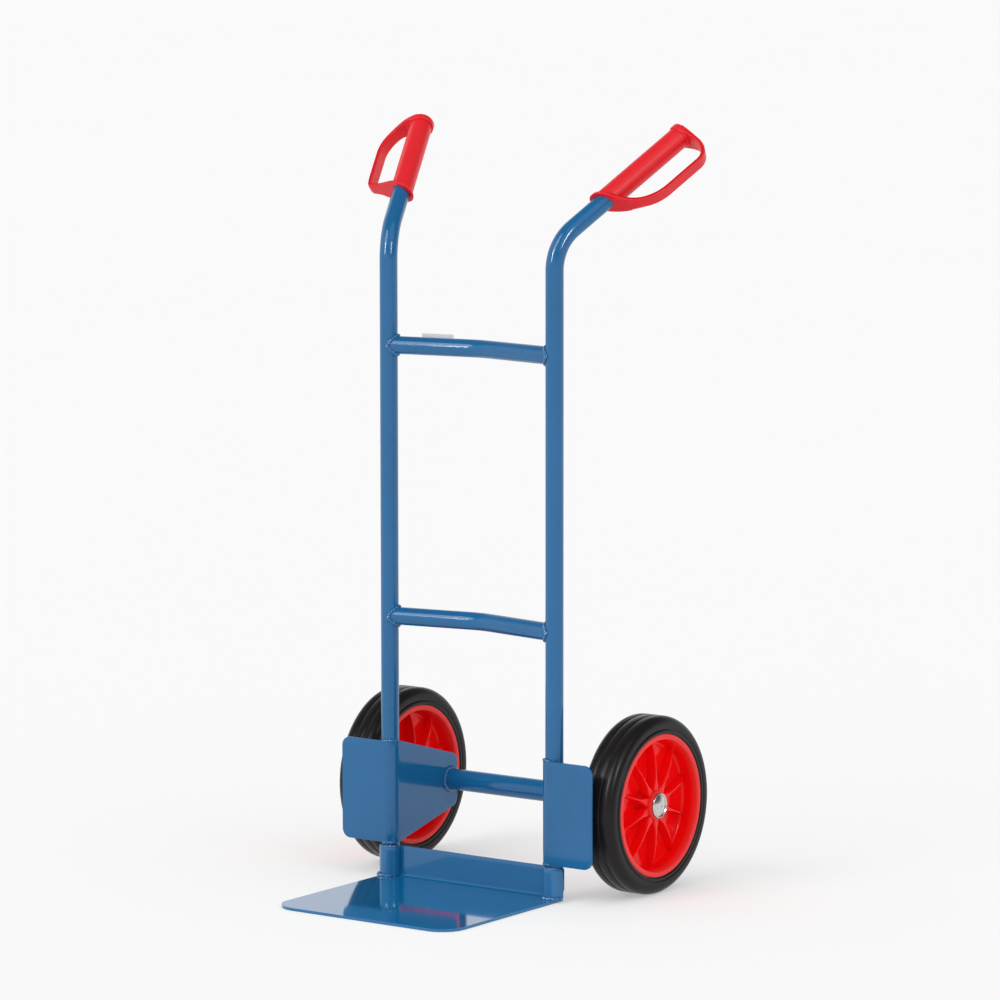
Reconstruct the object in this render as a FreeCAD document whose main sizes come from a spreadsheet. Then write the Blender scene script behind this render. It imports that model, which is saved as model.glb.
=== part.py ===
"""Two-wheel hand truck: a welded tube frame, a toe plate, two solid-tyred wheels and guarded grips.

Millimetres. +Z is up, the load stands in front (-Y) and the wheels are behind (+Y).
The origin is on the floor, midway between the uprights, on the line of their axes.
"""
import FreeCAD
import Part
import math
import os

import Sketcher
from FreeCAD import Placement, Rotation, Vector

SIZES = [
    # frame tubes
    ("tube_diameter", 25.0, "uprights and cross tubes, outside"),
    ("tube_wall", 1.5, "wall of uprights and cross tubes"),
    ("upright_spacing", 280.0, "between the axes of the uprights"),
    ("weld_gap", 0.15, "joint gap under a weld, on a curved seat"),
    ("bend_height", 867.0, "floor to the start of the handle bend"),
    ("bend_radius", 68.0, "axis radius of the handle bend"),
    ("bend_angle", 55.4, "turn of the handle bend"),
    ("bend_outward", 23.3, "how far the bend's plane is turned outwards"),
    ("handle_run", 59.0, "bend to grip"),
    ("upper_tube_drop", 116.0, "start of the handle bend down to the axis of the upper cross tube"),
    ("lower_tube_height", 372.0, "floor to the axis of the lower cross tube"),
    ("cross_bow", 25.7, "how far the cross tubes bow back at the middle"),
    ("cross_bend_radius", 90.0, "axis radius of the bend in a cross tube"),
    # toe plate
    ("blade_overhang", 10.0, "how far the blade goes past the axis of each upright"),
    ("blade_front", 260.0, "upright axes to the front edge of the toe plate"),
    ("blade_thickness", 4.0, "toe plate sheet"),
    ("blade_corner", 36.0, "radius of the front corners"),
    ("upstand_height", 46.8, "floor to the top of the upstand"),
    ("upstand_front", 3.0, "upright axes back to the upstand's front face"),
    ("sheet", 3.0, "sheet of the upstand and the wheel brackets"),
    ("fold_radius", 4.0, "outer radius of the fold at the back of the blade"),
    ("wrap_reach", 2.0, "how far round the uprights the upstand's ends go"),
    ("wrap_cut_width", 5.0, "width of the cut at the foot of each wrap"),
    ("wrap_cut_height", 14.0, "height of the cut at the foot of each wrap"),
    # wheel brackets
    ("bracket_bottom", 52.6, "floor to the foot of a wheel bracket"),
    ("bracket_top", 196.4, "floor to the top of a wheel bracket"),
    ("bracket_reach", 72.5, "upright axis to the outer edge of a bracket"),
    ("bracket_corner", 13.0, "radius of a bracket's outer corners"),
    ("side_plate_corner", 9.0, "radius of a side plate's rear corners"),
    ("side_plate_rear", 137.5, "upright axes to the rear edge of a side plate"),
    ("rear_edge_top", 157.5, "floor to the upper rear corner of a side plate"),
    ("rear_edge_bottom", 86.5, "floor to the lower rear corner of a side plate"),
    # axle
    ("axle_back", 122.0, "upright axes back to the axle"),
    ("axle_diameter", 20.0, "axle bar"),
    ("axle_tube_diameter", 30.0, "tube between the side plates"),
    ("axle_tube_wall", 2.5, "wall of the axle tube"),
    ("axle_fit", 0.2, "gap round the axle in the plates and sleeves"),
    ("spacer_diameter", 26.0, "spacer sleeves outside the side plates"),
    ("washer_diameter", 34.0, "washers on both sides of a hub"),
    ("washer_thickness", 1.5, "washers"),
    ("end_play", 0.3, "gap at each face of a hub"),
    ("cap_diameter", 34.6, "hub caps"),
    ("cap_edge", 1.6, "height of a hub cap's edge"),
    ("cap_rise", 2.6, "crown of a hub cap above its edge"),
    ("axle_in_cap", 2.0, "how far the axle's end goes into a cap"),
    # wheels
    ("wheel_diameter", 248.0, "over the tread"),
    ("wheel_offset", 67.5, "upright axis to the centre plane of a wheel"),
    ("tyre_width", 53.0, "sidewall to sidewall"),
    ("tyre_shoulder", 12.0, "radius of the tyre's shoulders"),
    ("tread_groove", 7.5, "wheel's centre plane to each tread groove"),
    ("groove_width", 1.6, "tread grooves"),
    ("groove_depth", 1.2, "tread grooves"),
    ("tyre_height", 24.6, "edge of the rim's lips out to the tread"),
    ("rim_channel", 6.0, "depth of the channel that holds the tyre"),
    ("rim_lip", 3.5, "thickness of a lip, along the axle"),
    ("rim_wall", 6.5, "wall of the rim under the tyre"),
    ("lip_bevel", 8.0, "width of the bevel inside a lip"),
    ("web_thickness", 5.0, "disc between hub and rim"),
    ("hub_diameter", 44.0, "hub"),
    ("hub_outer", 22.0, "wheel's centre plane to the outer hub face"),
    ("hub_inner", 23.5, "wheel's centre plane to the inner hub face"),
    ("tyre_fit", 0.15, "gap between tyre and rim"),
    ("rib_count", 10, "ribs on each face of the web"),
    ("rib_thickness", 3.0, "ribs"),
    ("rib_end", 3.5, "height of a rib's crest at the rim, from the centre plane"),
    # hub bearing
    ("roller_diameter", 3.0, "bearing rollers"),
    ("roller_length", 33.0, "bearing rollers"),
    ("roller_count", 10, "rollers in one hub"),
    ("running_gap", 0.05, "gap at each side of a roller"),
    ("shell_wall", 1.4, "steel shell in the hub"),
    ("shell_fit", 0.05, "gap between shell and hub"),
    ("cage_wall", 1.6, "roller cage"),
    ("cage_length", 40.0, "roller cage"),
    ("cage_play", 0.3, "gap round a roller in its slot"),
    # grips
    ("grip_length", 158.0, "grip, along its axis"),
    ("grip_diameter", 31.2, "sleeve of a grip"),
    ("grip_bore_fit", 0.15, "gap between a grip and its tube"),
    ("grip_end_wall", 6.0, "closed end of a grip"),
    ("grip_cap_diameter", 35.2, "end flange of a grip"),
    ("grip_cap_length", 10.0, "end flange of a grip"),
    ("collar_diameter", 36.8, "collar where the tube enters a grip"),
    ("collar_tilt", 26.0, "lean of the collar towards the guard"),
    ("guard_reach", 57.5, "grip axis to the outside of the guard"),
    ("guard_thickness", 5.5, "guard strap"),
    ("guard_width", 18.0, "guard strap"),
    ("guard_taper_end", 45.0, "grip axis to where the guard reaches its width"),
    ("left_base_radius", 10.0, "outer corner of the left guard, near the tube"),
    ("left_top_radius", 65.0, "first outer curve of the left guard's far end"),
    ("left_end_radius", 28.0, "second outer curve of the left guard's far end"),
    ("right_base_radius", 70.0, "outer curve of the right guard, near the tube"),
    ("right_top_radius", 28.0, "first outer curve of the right guard's far end"),
    ("right_end_radius", 28.0, "second outer curve of the right guard's far end"),
    ("left_guard_turn", 19.0, "left guard, turned down from straight outwards"),
    ("right_guard_turn", 30.5, "right guard, turned down from straight outwards"),
    # label plate
    ("label_width", 48.0, "blank plate on the upper cross tube"),
    ("label_height", 29.0, "blank plate"),
    ("label_thickness", 1.0, "blank plate"),
    ("label_offset", 45.0, "left upright to the near edge of the plate, along the tube"),
    ("label_rise", 4.0, "top of the plate above its tube"),
]

doc = FreeCAD.newDocument("hand_truck")
sheet = doc.addObject("Spreadsheet::Sheet", "Sizes")


class Size:
    """A number in millimetres or degrees, with the spreadsheet expression that gives it."""

    def __init__(self, value, text=None):
        self.value = float(value)
        self.text = text if text else f"{float(value):.10g}"
        self.fixed = text is None

    def joined(self, other, sign, value):
        return Size(value, f"({self.text} {sign} {other.text})")

    def __add__(self, other):
        other = as_size(other)
        return self.joined(other, "+", self.value + other.value)

    def __sub__(self, other):
        other = as_size(other)
        return self.joined(other, "-", self.value - other.value)

    def __mul__(self, other):
        other = as_size(other)
        return self.joined(other, "*", self.value * other.value)

    def __truediv__(self, other):
        other = as_size(other)
        return self.joined(other, "/", self.value / other.value)

    def __radd__(self, other):
        return as_size(other) + self

    def __rsub__(self, other):
        return as_size(other) - self

    def __rmul__(self, other):
        return as_size(other) * self

    def __rtruediv__(self, other):
        return as_size(other) / self

    def __neg__(self):
        return Size(-self.value, f"(-1 * {self.text})")

    def __float__(self):
        return self.value


def as_size(number):
    return number if isinstance(number, Size) else Size(number)


def sine(angle):
    return Size(math.sin(math.radians(angle.value)), f"sin({angle.text} * 1 deg)")


def cosine(angle):
    return Size(math.cos(math.radians(angle.value)), f"cos({angle.text} * 1 deg)")


def tangent(angle):
    return Size(math.tan(math.radians(angle.value)), f"tan({angle.text} * 1 deg)")


def root(size):
    return Size(math.sqrt(size.value), f"sqrt({size.text})")


class Table:
    """The driving dimensions, one attribute for each alias of the sheet."""


def fill_sheet():
    table = Table()
    for row, (alias, value, note) in enumerate(SIZES, start=1):
        sheet.set(f"A{row}", note)
        sheet.set(f"B{row}", f"{value}")
        sheet.setAlias(f"B{row}", alias)
        setattr(table, alias, Size(value, f"Sizes.{alias}"))
    doc.recompute()
    return table


d = fill_sheet()

# Sizes that several pieces share.
tube_radius = d.tube_diameter / 2
half_spacing = d.upright_spacing / 2
seat_radius = tube_radius + d.weld_gap
side_plate_face = half_spacing - seat_radius - d.sheet
side_plate_back = half_spacing - seat_radius
axle_radius = d.axle_diameter / 2
axle_height = d.wheel_diameter / 2
wheel_centre = half_spacing + d.wheel_offset
bracket_edge = half_spacing + d.bracket_reach
upper_tube_height = d.bend_height - d.upper_tube_drop
rim_radius = d.wheel_diameter / 2 - d.tyre_height
axle_hole = axle_radius + d.axle_fit
tyre_half = d.tyre_width / 2
seat_of_tyre = rim_radius - d.rim_channel
channel_half = tyre_half - d.rim_lip
outer_washer_face = d.hub_outer + d.end_play
cap_face = outer_washer_face + d.washer_thickness
roller_pitch = axle_radius + d.running_gap + d.roller_diameter / 2
shell_bore = roller_pitch + d.roller_diameter / 2 + d.running_gap
hub_bore = shell_bore + d.shell_wall + d.shell_fit
SIDES = (("left", -1), ("right", 1))


def new_body(label):
    body = doc.addObject("PartDesign::Body", label)
    body.Label = label
    return body


def bind(target, **sizes):
    for name, size in sizes.items():
        target.setExpression(name.replace("__", "."), as_size(size).text)


def place(target, x=0, y=0, z=0, axis=Vector(0, 0, 1), angle=0):
    """Places an object, its turn first and then its shift, both driven by the sheet."""
    x, y, z, angle = (as_size(value) for value in (x, y, z, angle))
    target.Placement = Placement(Vector(float(x), float(y), float(z)), Rotation(axis, float(angle)))
    bind(target, Placement__Base__x=x, Placement__Base__y=y, Placement__Base__z=z)
    bind(target, Placement__Rotation__Angle=angle)


def new_sketch(body, plane, offset=None):
    """A sketch on one of the body's own planes, lifted along the plane's normal by offset."""
    sketch = body.newObject("Sketcher::SketchObject", f"{body.Name}_sketch")
    support = next(item for item in body.Origin.OriginFeatures if item.Role == plane)
    sketch.AttachmentSupport = [(support, "")]
    sketch.MapMode = "FlatFace"
    if offset is not None:
        bind(sketch, AttachmentOffset__Base__z=offset)
    return sketch


def drive(sketch, kind, *where_and_size):
    """Adds a constraint whose last argument is a Size, and binds it to the sheet."""
    *where, size = where_and_size
    size = as_size(size)
    index = sketch.addConstraint(Sketcher.Constraint(kind, *where, float(size)))
    if not size.fixed:
        sketch.setExpression(f"Constraints[{index}]", size.text)


def pin_point(sketch, edge, end, point):
    drive(sketch, "DistanceX", -1, 1, edge, end, point[0])
    drive(sketch, "DistanceY", -1, 1, edge, end, point[1])


def draw(sketch, points, centres=None, closed=True):
    """Draws straight edges from point to point; edge i is an arc where centres has a centre for it.

    An arc goes the short way round. Every point is pinned to the sketch's origin.
    """
    centres = centres or {}
    count = len(points) if closed else len(points) - 1
    starts = []
    ends = []
    for i in range(count):
        first = points[i]
        last = points[(i + 1) % len(points)]
        a = Vector(float(first[0]), float(first[1]), 0)
        b = Vector(float(last[0]), float(last[1]), 0)
        if i not in centres:
            edge = sketch.addGeometry(Part.LineSegment(a, b))
            starts.append((edge, 1))
            ends.append((edge, 2))
            continue
        centre = Vector(float(centres[i][0]), float(centres[i][1]), 0)
        anticlockwise = (a - centre).cross(b - centre).z > 0
        low, high = (a, b) if anticlockwise else (b, a)
        angles = [math.atan2(p.y - centre.y, p.x - centre.x) for p in (low, high)]
        circle = Part.Circle(centre, Vector(0, 0, 1), (a - centre).Length)
        edge = sketch.addGeometry(Part.ArcOfCircle(circle, *angles))
        starts.append((edge, 1 if anticlockwise else 2))
        ends.append((edge, 2 if anticlockwise else 1))
        steep = abs(b.y - a.y) > abs(b.x - a.x)
        axis = 0 if steep else 1
        drive(sketch, "DistanceX" if steep else "DistanceY", -1, 1, edge, 3, centres[i][axis])
    for i in range(count):
        pin_point(sketch, *starts[i], points[i])
        if closed or i + 1 < count:
            follower = starts[(i + 1) % count]
            sketch.addConstraint(Sketcher.Constraint("Coincident", *ends[i], *follower))
    if not closed:
        pin_point(sketch, *ends[-1], points[-1])


def draw_circle(sketch, x, y, radius):
    x, y, radius = (as_size(value) for value in (x, y, radius))
    centre = Vector(float(x), float(y), 0)
    edge = sketch.addGeometry(Part.Circle(centre, Vector(0, 0, 1), float(radius)))
    drive(sketch, "Radius", edge, radius)
    pin_point(sketch, edge, 3, (x, y))


def pad(body, sketch, length, symmetric=False):
    feature = body.newObject("PartDesign::Pad", f"{body.Name}_pad")
    feature.Profile = sketch
    feature.SideType = "Symmetric" if symmetric else "One side"
    bind(feature, Length=length)
    return feature


def pocket(body, sketch, length):
    """Cuts equally to both sides of the sketch."""
    feature = body.newObject("PartDesign::Pocket", f"{body.Name}_pocket")
    feature.Profile = sketch
    feature.SideType = "Symmetric"
    bind(feature, Length=length)
    return feature


def revolve(body, sketch, axis="Z_Axis"):
    feature = body.newObject("PartDesign::Revolution", f"{body.Name}_revolution")
    feature.Profile = sketch
    feature.ReferenceAxis = (next(o for o in body.Origin.OriginFeatures if o.Role == axis), [""])
    feature.Angle = 360
    return feature


def repeat_round(body, feature, count, axis="Z_Axis"):
    pattern = body.newObject("PartDesign::PolarPattern", f"{body.Name}_pattern")
    pattern.Originals = [feature]
    pattern.Axis = (next(o for o in body.Origin.OriginFeatures if o.Role == axis), [""])
    pattern.Angle = 360
    bind(pattern, Occurrences=count)
    body.Tip = pattern
    return pattern


def sweep(body, profile, path):
    feature = body.newObject("PartDesign::AdditivePipe", f"{body.Name}_pipe")
    feature.Profile = profile
    feature.Spine = path
    return feature


def fillet(body, radius, wanted):
    """Rounds the straight edges of the body's last shape for which wanted(edge) is true."""
    doc.recompute()
    base = body.Tip
    names = [
        f"Edge{i}" for i, edge in enumerate(base.Shape.Edges, start=1)
        if isinstance(edge.Curve, Part.Line) and wanted(edge)
    ]
    feature = body.newObject("PartDesign::Fillet", f"{body.Name}_fillet")
    feature.Base = (base, names)
    bind(feature, Radius=radius)
    return feature


def along(edge, axis):
    """Whether a straight edge runs along one of the axes, given as 0, 1 or 2."""
    direction = edge.Curve.Direction
    return abs(abs(direction[axis]) - 1) < 1e-6


def near(value, size):
    return abs(value - float(size)) < 1e-3


def ring(body, plane, radius, bore, length, offset=None, symmetric=False):
    sketch = new_sketch(body, plane, offset)
    draw_circle(sketch, 0, 0, radius)
    draw_circle(sketch, 0, 0, bore)
    return pad(body, sketch, length, symmetric)


def make_upright(name, side):
    """A tube from the toe plate up, then bent back and outwards into the handle."""
    body = new_body(f"{name}_upright")
    profile = new_sketch(body, "XY_Plane")
    draw_circle(profile, 0, 0, tube_radius)
    draw_circle(profile, 0, 0, tube_radius - d.tube_wall)
    straight = d.bend_height - d.blade_thickness
    end_of_bend = (
        d.bend_radius - d.bend_radius * cosine(d.bend_angle),
        straight + d.bend_radius * sine(d.bend_angle),
    )
    run = d.handle_run + d.grip_length - d.grip_end_wall
    path = new_sketch(body, "XZ_Plane")
    draw(
        path,
        [
            (0, 0),
            (0, straight),
            end_of_bend,
            (end_of_bend[0] + run * sine(d.bend_angle), end_of_bend[1] + run * cosine(d.bend_angle)),
        ],
        {1: (d.bend_radius, straight)},
        closed=False,
    )
    sweep(body, profile, path)
    place(body, side * half_spacing, 0, d.blade_thickness, angle=90 - side * d.bend_outward)


def make_cross_tube(name, height):
    """Two straight halves with a soft bend between them, the ends cut to sit on the uprights.

    The body's own X axis runs along the left half.
    """
    half_length = root(half_spacing * half_spacing + d.cross_bow * d.cross_bow)
    slope = Size(
        math.degrees(math.atan2(float(d.cross_bow), float(half_spacing))),
        f"(atan({d.cross_bow.text} / {half_spacing.text}) / 1 deg)",
    )
    turn = 2 * slope
    straight = half_length - d.cross_bend_radius * tangent(slope)
    far_end = (half_length + half_length * cosine(turn), -(half_length * sine(turn)))
    body = new_body(name)
    profile = new_sketch(body, "YZ_Plane")
    draw_circle(profile, 0, 0, tube_radius)
    draw_circle(profile, 0, 0, tube_radius - d.tube_wall)
    path = new_sketch(body, "XY_Plane")
    end_of_bend = (
        straight + d.cross_bend_radius * sine(turn),
        d.cross_bend_radius * cosine(turn) - d.cross_bend_radius,
    )
    draw(
        path,
        [(0, 0), (straight, 0), end_of_bend, far_end],
        {1: (straight, -d.cross_bend_radius)},
        closed=False,
    )
    sweep(body, profile, path)
    for x, y in ((0, 0), far_end):
        saddle = new_sketch(body, "XY_Plane")
        draw_circle(saddle, x, y, seat_radius)
        pocket(body, saddle, 2 * d.tube_diameter)
    place(body, -half_spacing, 0, height, angle=slope)
    return slope


def make_axle_tube():
    """The tube that holds the two side plates apart, with the axle inside it."""
    body = new_body("axle_tube")
    radius = d.axle_tube_diameter / 2
    ring(body, "YZ_Plane", radius, radius - d.axle_tube_wall, 2 * side_plate_face, symmetric=True)
    place(body, 0, d.axle_back, axle_height)


def make_bracket(name, side):
    """One bent sheet: a plate in front of the wheel, a quarter turn round the upright, a side plate."""
    body = new_body(f"{name}_wheel_bracket")
    front_back = -seat_radius
    front_face = -(seat_radius + d.sheet)
    centre = (side * half_spacing, 0)
    outline = new_sketch(body, "XY_Plane", d.bracket_bottom)
    draw(
        outline,
        [
            (side * bracket_edge, front_back),
            (side * half_spacing, front_back),
            (side * side_plate_back, 0),
            (side * side_plate_back, d.side_plate_rear),
            (side * side_plate_face, d.side_plate_rear),
            (side * side_plate_face, 0),
            (side * half_spacing, front_face),
            (side * bracket_edge, front_face),
        ],
        {1: centre, 5: centre},
    )
    pad(body, outline, d.bracket_top - d.bracket_bottom)
    tapers = new_sketch(body, "YZ_Plane")
    rear = d.side_plate_rear
    draw(tapers, [(0, d.bracket_top), (rear, d.bracket_top), (rear, d.rear_edge_top)])
    draw(tapers, [(0, d.bracket_bottom), (rear, d.rear_edge_bottom), (rear, d.bracket_bottom)])
    pocket(body, tapers, 2 * d.upright_spacing)
    hole = new_sketch(body, "YZ_Plane")
    draw_circle(hole, d.axle_back, axle_height, axle_hole)
    pocket(body, hole, 2 * d.upright_spacing)
    fillet(
        body, d.bracket_corner,
        lambda edge: along(edge, 1) and near(abs(edge.CenterOfMass.x), bracket_edge),
    )
    fillet(
        body, d.side_plate_corner,
        lambda edge: along(edge, 0) and near(edge.CenterOfMass.y, d.side_plate_rear),
    )


def make_toe_plate():
    """The blade, its upstand between the uprights, and the ends wrapped round their fronts."""
    body = new_body("toe_plate")
    upstand_back = d.upstand_front + d.sheet
    half_width = half_spacing + d.blade_overhang
    blade = new_sketch(body, "XY_Plane")
    draw(blade, [
        (-half_width, -d.blade_front),
        (half_width, -d.blade_front),
        (half_width, upstand_back),
        (-half_width, upstand_back),
    ])
    pad(body, blade, d.blade_thickness)
    upstand_end = side_plate_back - d.sheet / 2
    upstand = new_sketch(body, "XY_Plane")
    draw(upstand, [
        (-upstand_end, d.upstand_front),
        (upstand_end, d.upstand_front),
        (upstand_end, upstand_back),
        (-upstand_end, upstand_back),
    ])
    pad(body, upstand, d.upstand_height)
    outer = seat_radius + d.sheet

    def beside(radius, y):
        """How far to the side of the upright's axis a circle is at a given y."""
        return root(radius * radius - y * y)

    for _, side in SIDES:
        wrap = new_sketch(body, "XY_Plane")
        centre = (side * half_spacing, 0)
        draw(
            wrap,
            [
                (side * (half_spacing + beside(outer, d.wrap_reach)), d.wrap_reach),
                (side * half_spacing, -outer),
                (side * (half_spacing - beside(outer, upstand_back)), upstand_back),
                (side * (half_spacing - beside(seat_radius, upstand_back)), upstand_back),
                (side * half_spacing, -seat_radius),
                (side * (half_spacing + beside(seat_radius, d.wrap_reach)), d.wrap_reach),
            ],
            {0: centre, 1: centre, 3: centre, 4: centre},
        )
        pad(body, wrap, d.upstand_height)
        foot = new_sketch(body, "XZ_Plane")
        far = half_spacing + outer
        draw(foot, [
            (side * (far - d.wrap_cut_width), d.blade_thickness),
            (side * (far + d.sheet), d.blade_thickness),
            (side * (far + d.sheet), d.blade_thickness + d.wrap_cut_height),
            (side * far, d.blade_thickness + d.wrap_cut_height),
        ])
        pocket(body, foot, 2 * d.tube_diameter)
    fillet(
        body, d.blade_corner,
        lambda edge: along(edge, 2) and near(edge.CenterOfMass.y, -d.blade_front),
    )
    fillet(
        body, d.fold_radius,
        lambda edge: along(edge, 0) and near(edge.CenterOfMass.z, 0)
        and near(edge.CenterOfMass.y, upstand_back),
    )


def make_axle():
    body = new_body("axle")
    sketch = new_sketch(body, "YZ_Plane")
    draw_circle(sketch, 0, 0, axle_radius)
    pad(body, sketch, 2 * (wheel_centre + cap_face + d.axle_in_cap), symmetric=True)
    place(body, 0, d.axle_back, axle_height)


def place_on_axle(target, side):
    """Puts a round piece at a wheel's centre, with its own +Z pointing away from the truck."""
    place(target, side * wheel_centre, d.axle_back, axle_height, Vector(0, side, 0), 90)


def make_rim(name, side):
    """Hub, ribbed web and the channel that holds the tyre, moulded in one."""
    body = new_body(f"{name}_rim")
    section = new_sketch(body, "XZ_Plane")
    hub = d.hub_diameter / 2
    web = d.web_thickness / 2
    under_tyre = seat_of_tyre - d.rim_wall
    lip_inside = rim_radius - d.lip_bevel
    draw(section, [
        (hub_bore, -d.hub_inner),
        (hub, -d.hub_inner),
        (hub, -web),
        (under_tyre, -web),
        (lip_inside, -tyre_half),
        (rim_radius, -tyre_half),
        (rim_radius, -channel_half),
        (seat_of_tyre, -channel_half),
        (seat_of_tyre, channel_half),
        (rim_radius, channel_half),
        (rim_radius, tyre_half),
        (lip_inside, tyre_half),
        (under_tyre, web),
        (hub, web),
        (hub, d.hub_outer),
        (hub_bore, d.hub_outer),
    ])
    revolve(body, section)
    ribs = new_sketch(body, "XZ_Plane")
    root_radius = hub - d.rib_thickness / 2
    end_radius = under_tyre + d.rim_wall / 4
    for face, hub_face in ((1, d.hub_outer), (-1, d.hub_inner)):
        crest = hub_face - d.rib_thickness / 2
        span = end_radius - root_radius
        drop = crest - d.rib_end
        sweep_radius = (span * span + drop * drop) / (2 * drop)
        draw(
            ribs,
            [
                (root_radius, face * web / 2),
                (end_radius, face * web / 2),
                (end_radius, face * d.rib_end),
                (root_radius, face * crest),
            ],
            {2: (end_radius, face * (d.rib_end + sweep_radius))},
        )
    rib = pad(body, ribs, d.rib_thickness, symmetric=True)
    repeat_round(body, rib, d.rib_count)
    place_on_axle(body, side)


def make_tyre(name, side):
    """Solid rubber, its foot in the rim's channel and its sidewalls over the lips."""
    body = new_body(f"{name}_tyre")
    radius = d.wheel_diameter / 2
    foot = seat_of_tyre + d.tyre_fit
    foot_half = channel_half - d.tyre_fit
    over_lip = rim_radius + d.tyre_fit
    flat = tyre_half - d.tyre_shoulder
    shoulder = radius - d.tyre_shoulder
    near_edge = d.tread_groove - d.groove_width / 2
    far_edge = d.tread_groove + d.groove_width / 2
    bottom = radius - d.groove_depth
    section = new_sketch(body, "XZ_Plane")
    draw(
        section,
        [
            (foot, -foot_half),
            (over_lip, -foot_half),
            (over_lip, -tyre_half),
            (shoulder, -tyre_half),
            (radius, -flat),
            (radius, -far_edge),
            (bottom, -far_edge),
            (bottom, -near_edge),
            (radius, -near_edge),
            (radius, near_edge),
            (bottom, near_edge),
            (bottom, far_edge),
            (radius, far_edge),
            (radius, flat),
            (shoulder, tyre_half),
            (over_lip, tyre_half),
            (over_lip, foot_half),
            (foot, foot_half),
        ],
        {3: (shoulder, -flat), 13: (shoulder, flat)},
    )
    revolve(body, section)
    place_on_axle(body, side)


def make_cap(name, side):
    """A shallow domed cap pushed on the axle's end."""
    body = new_body(f"{name}_hub_cap")
    radius = d.cap_diameter / 2
    edge = cap_face + d.cap_edge
    top = edge + d.cap_rise
    dome = (radius * radius + d.cap_rise * d.cap_rise) / (2 * d.cap_rise)
    bore = axle_radius + d.running_gap
    section = new_sketch(body, "XZ_Plane")
    draw(
        section,
        [
            (bore, cap_face),
            (radius, cap_face),
            (radius, edge),
            (0, top),
            (0, cap_face + d.axle_in_cap),
            (bore, cap_face + d.axle_in_cap),
        ],
        {2: (0, top - dome)},
    )
    revolve(body, section)
    place_on_axle(body, side)


def make_axle_rings(name, side):
    """The washers at both faces of the hub, and the spacer from the side plate to the inner one."""
    radius = d.washer_diameter / 2
    outer = new_body(f"{name}_outer_washer")
    ring(outer, "XY_Plane", radius, axle_hole, d.washer_thickness, outer_washer_face)
    inner = new_body(f"{name}_inner_washer")
    inner_face = -(d.hub_inner + d.end_play + d.washer_thickness)
    ring(inner, "XY_Plane", radius, axle_hole, d.washer_thickness, inner_face)
    spacer = new_body(f"{name}_spacer")
    plate = side_plate_back - wheel_centre
    ring(spacer, "XY_Plane", d.spacer_diameter / 2, axle_hole, inner_face - plate, plate)
    for body in (outer, inner, spacer):
        place_on_axle(body, side)


def make_bearing(name, side):
    """A steel shell in the hub, and a slotted cage that carries the rollers round the axle."""
    shell = new_body(f"{name}_bearing_shell")
    length = d.cage_length
    ring(shell, "XY_Plane", shell_bore + d.shell_wall, shell_bore, length, -length / 2)
    place_on_axle(shell, side)

    cage = new_body(f"{name}_roller_cage")
    outside = roller_pitch + d.cage_wall / 2
    ring(cage, "XY_Plane", outside, roller_pitch - d.cage_wall / 2, length, -length / 2)
    slot = new_sketch(cage, "YZ_Plane", roller_pitch)
    half_slot = d.roller_diameter / 2 + d.cage_play
    slot_end = d.roller_length / 2 + d.cage_play
    draw(slot, [
        (-half_slot, -slot_end),
        (half_slot, -slot_end),
        (half_slot, slot_end),
        (-half_slot, slot_end),
    ])
    cut = pocket(cage, slot, 2 * d.roller_diameter)
    repeat_round(cage, cut, d.roller_count)
    place_on_axle(cage, side)

    count = round(float(d.roller_count))
    rollers = []
    for i in range(count):
        roller = doc.addObject("Part::Cylinder", f"{name}_roller")
        bind(roller, Radius=d.roller_diameter / 2, Height=d.roller_length)
        angle = i * 360 / d.roller_count
        place(roller, roller_pitch * cosine(angle), roller_pitch * sine(angle), -d.roller_length / 2)
        rollers.append(roller)
    group = doc.addObject("Part::Compound", f"{name}_rollers")
    group.Label = f"{name}_rollers"
    group.Links = rollers
    place_on_axle(group, side)


def guard_outline(inset, base_radius, top_radius, end_radius):
    """One side of the guard strap, in the plane of the grip's axis: points and arc centres.

    X points from the grip's axis to the guard and Y along the axis. The line starts behind the
    tube on the leaning collar, turns to run along the grip, and comes back to the far end in two
    arcs that meet at 45 degrees. inset moves it inwards by that much.
    """
    half_turn = (90 - d.collar_tilt) / 2
    reach = d.guard_reach - inset
    base_radius = base_radius - inset
    top_radius = top_radius - inset
    end_radius = end_radius - inset
    lift = inset / cosine(d.collar_tilt)
    lean = tangent(d.collar_tilt)
    back = -(d.collar_diameter / 2)
    tangent_length = base_radius * tangent(half_turn)
    corner = reach * lean + lift
    on_collar = (
        reach - tangent_length * cosine(d.collar_tilt),
        corner - tangent_length * sine(d.collar_tilt),
    )
    base_end = (reach, corner + tangent_length)
    base_centre = (reach - base_radius, corner + tangent_length)
    eighth = sine(as_size(45))
    top = d.grip_length - inset
    middle_x = reach - top_radius * (1 - eighth)
    end_x = middle_x - end_radius * eighth
    middle_y = top - end_radius * (1 - eighth)
    top_start = (reach, middle_y - top_radius * eighth)
    points = [
        (back, back * lean + lift),
        on_collar,
        base_end,
        top_start,
        (middle_x, middle_y),
        (end_x, top),
        (as_size(0), top),
    ]
    centres = {
        1: base_centre,
        3: (reach - top_radius, top_start[1]),
        4: (end_x, top - end_radius),
    }
    return points, centres


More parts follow.
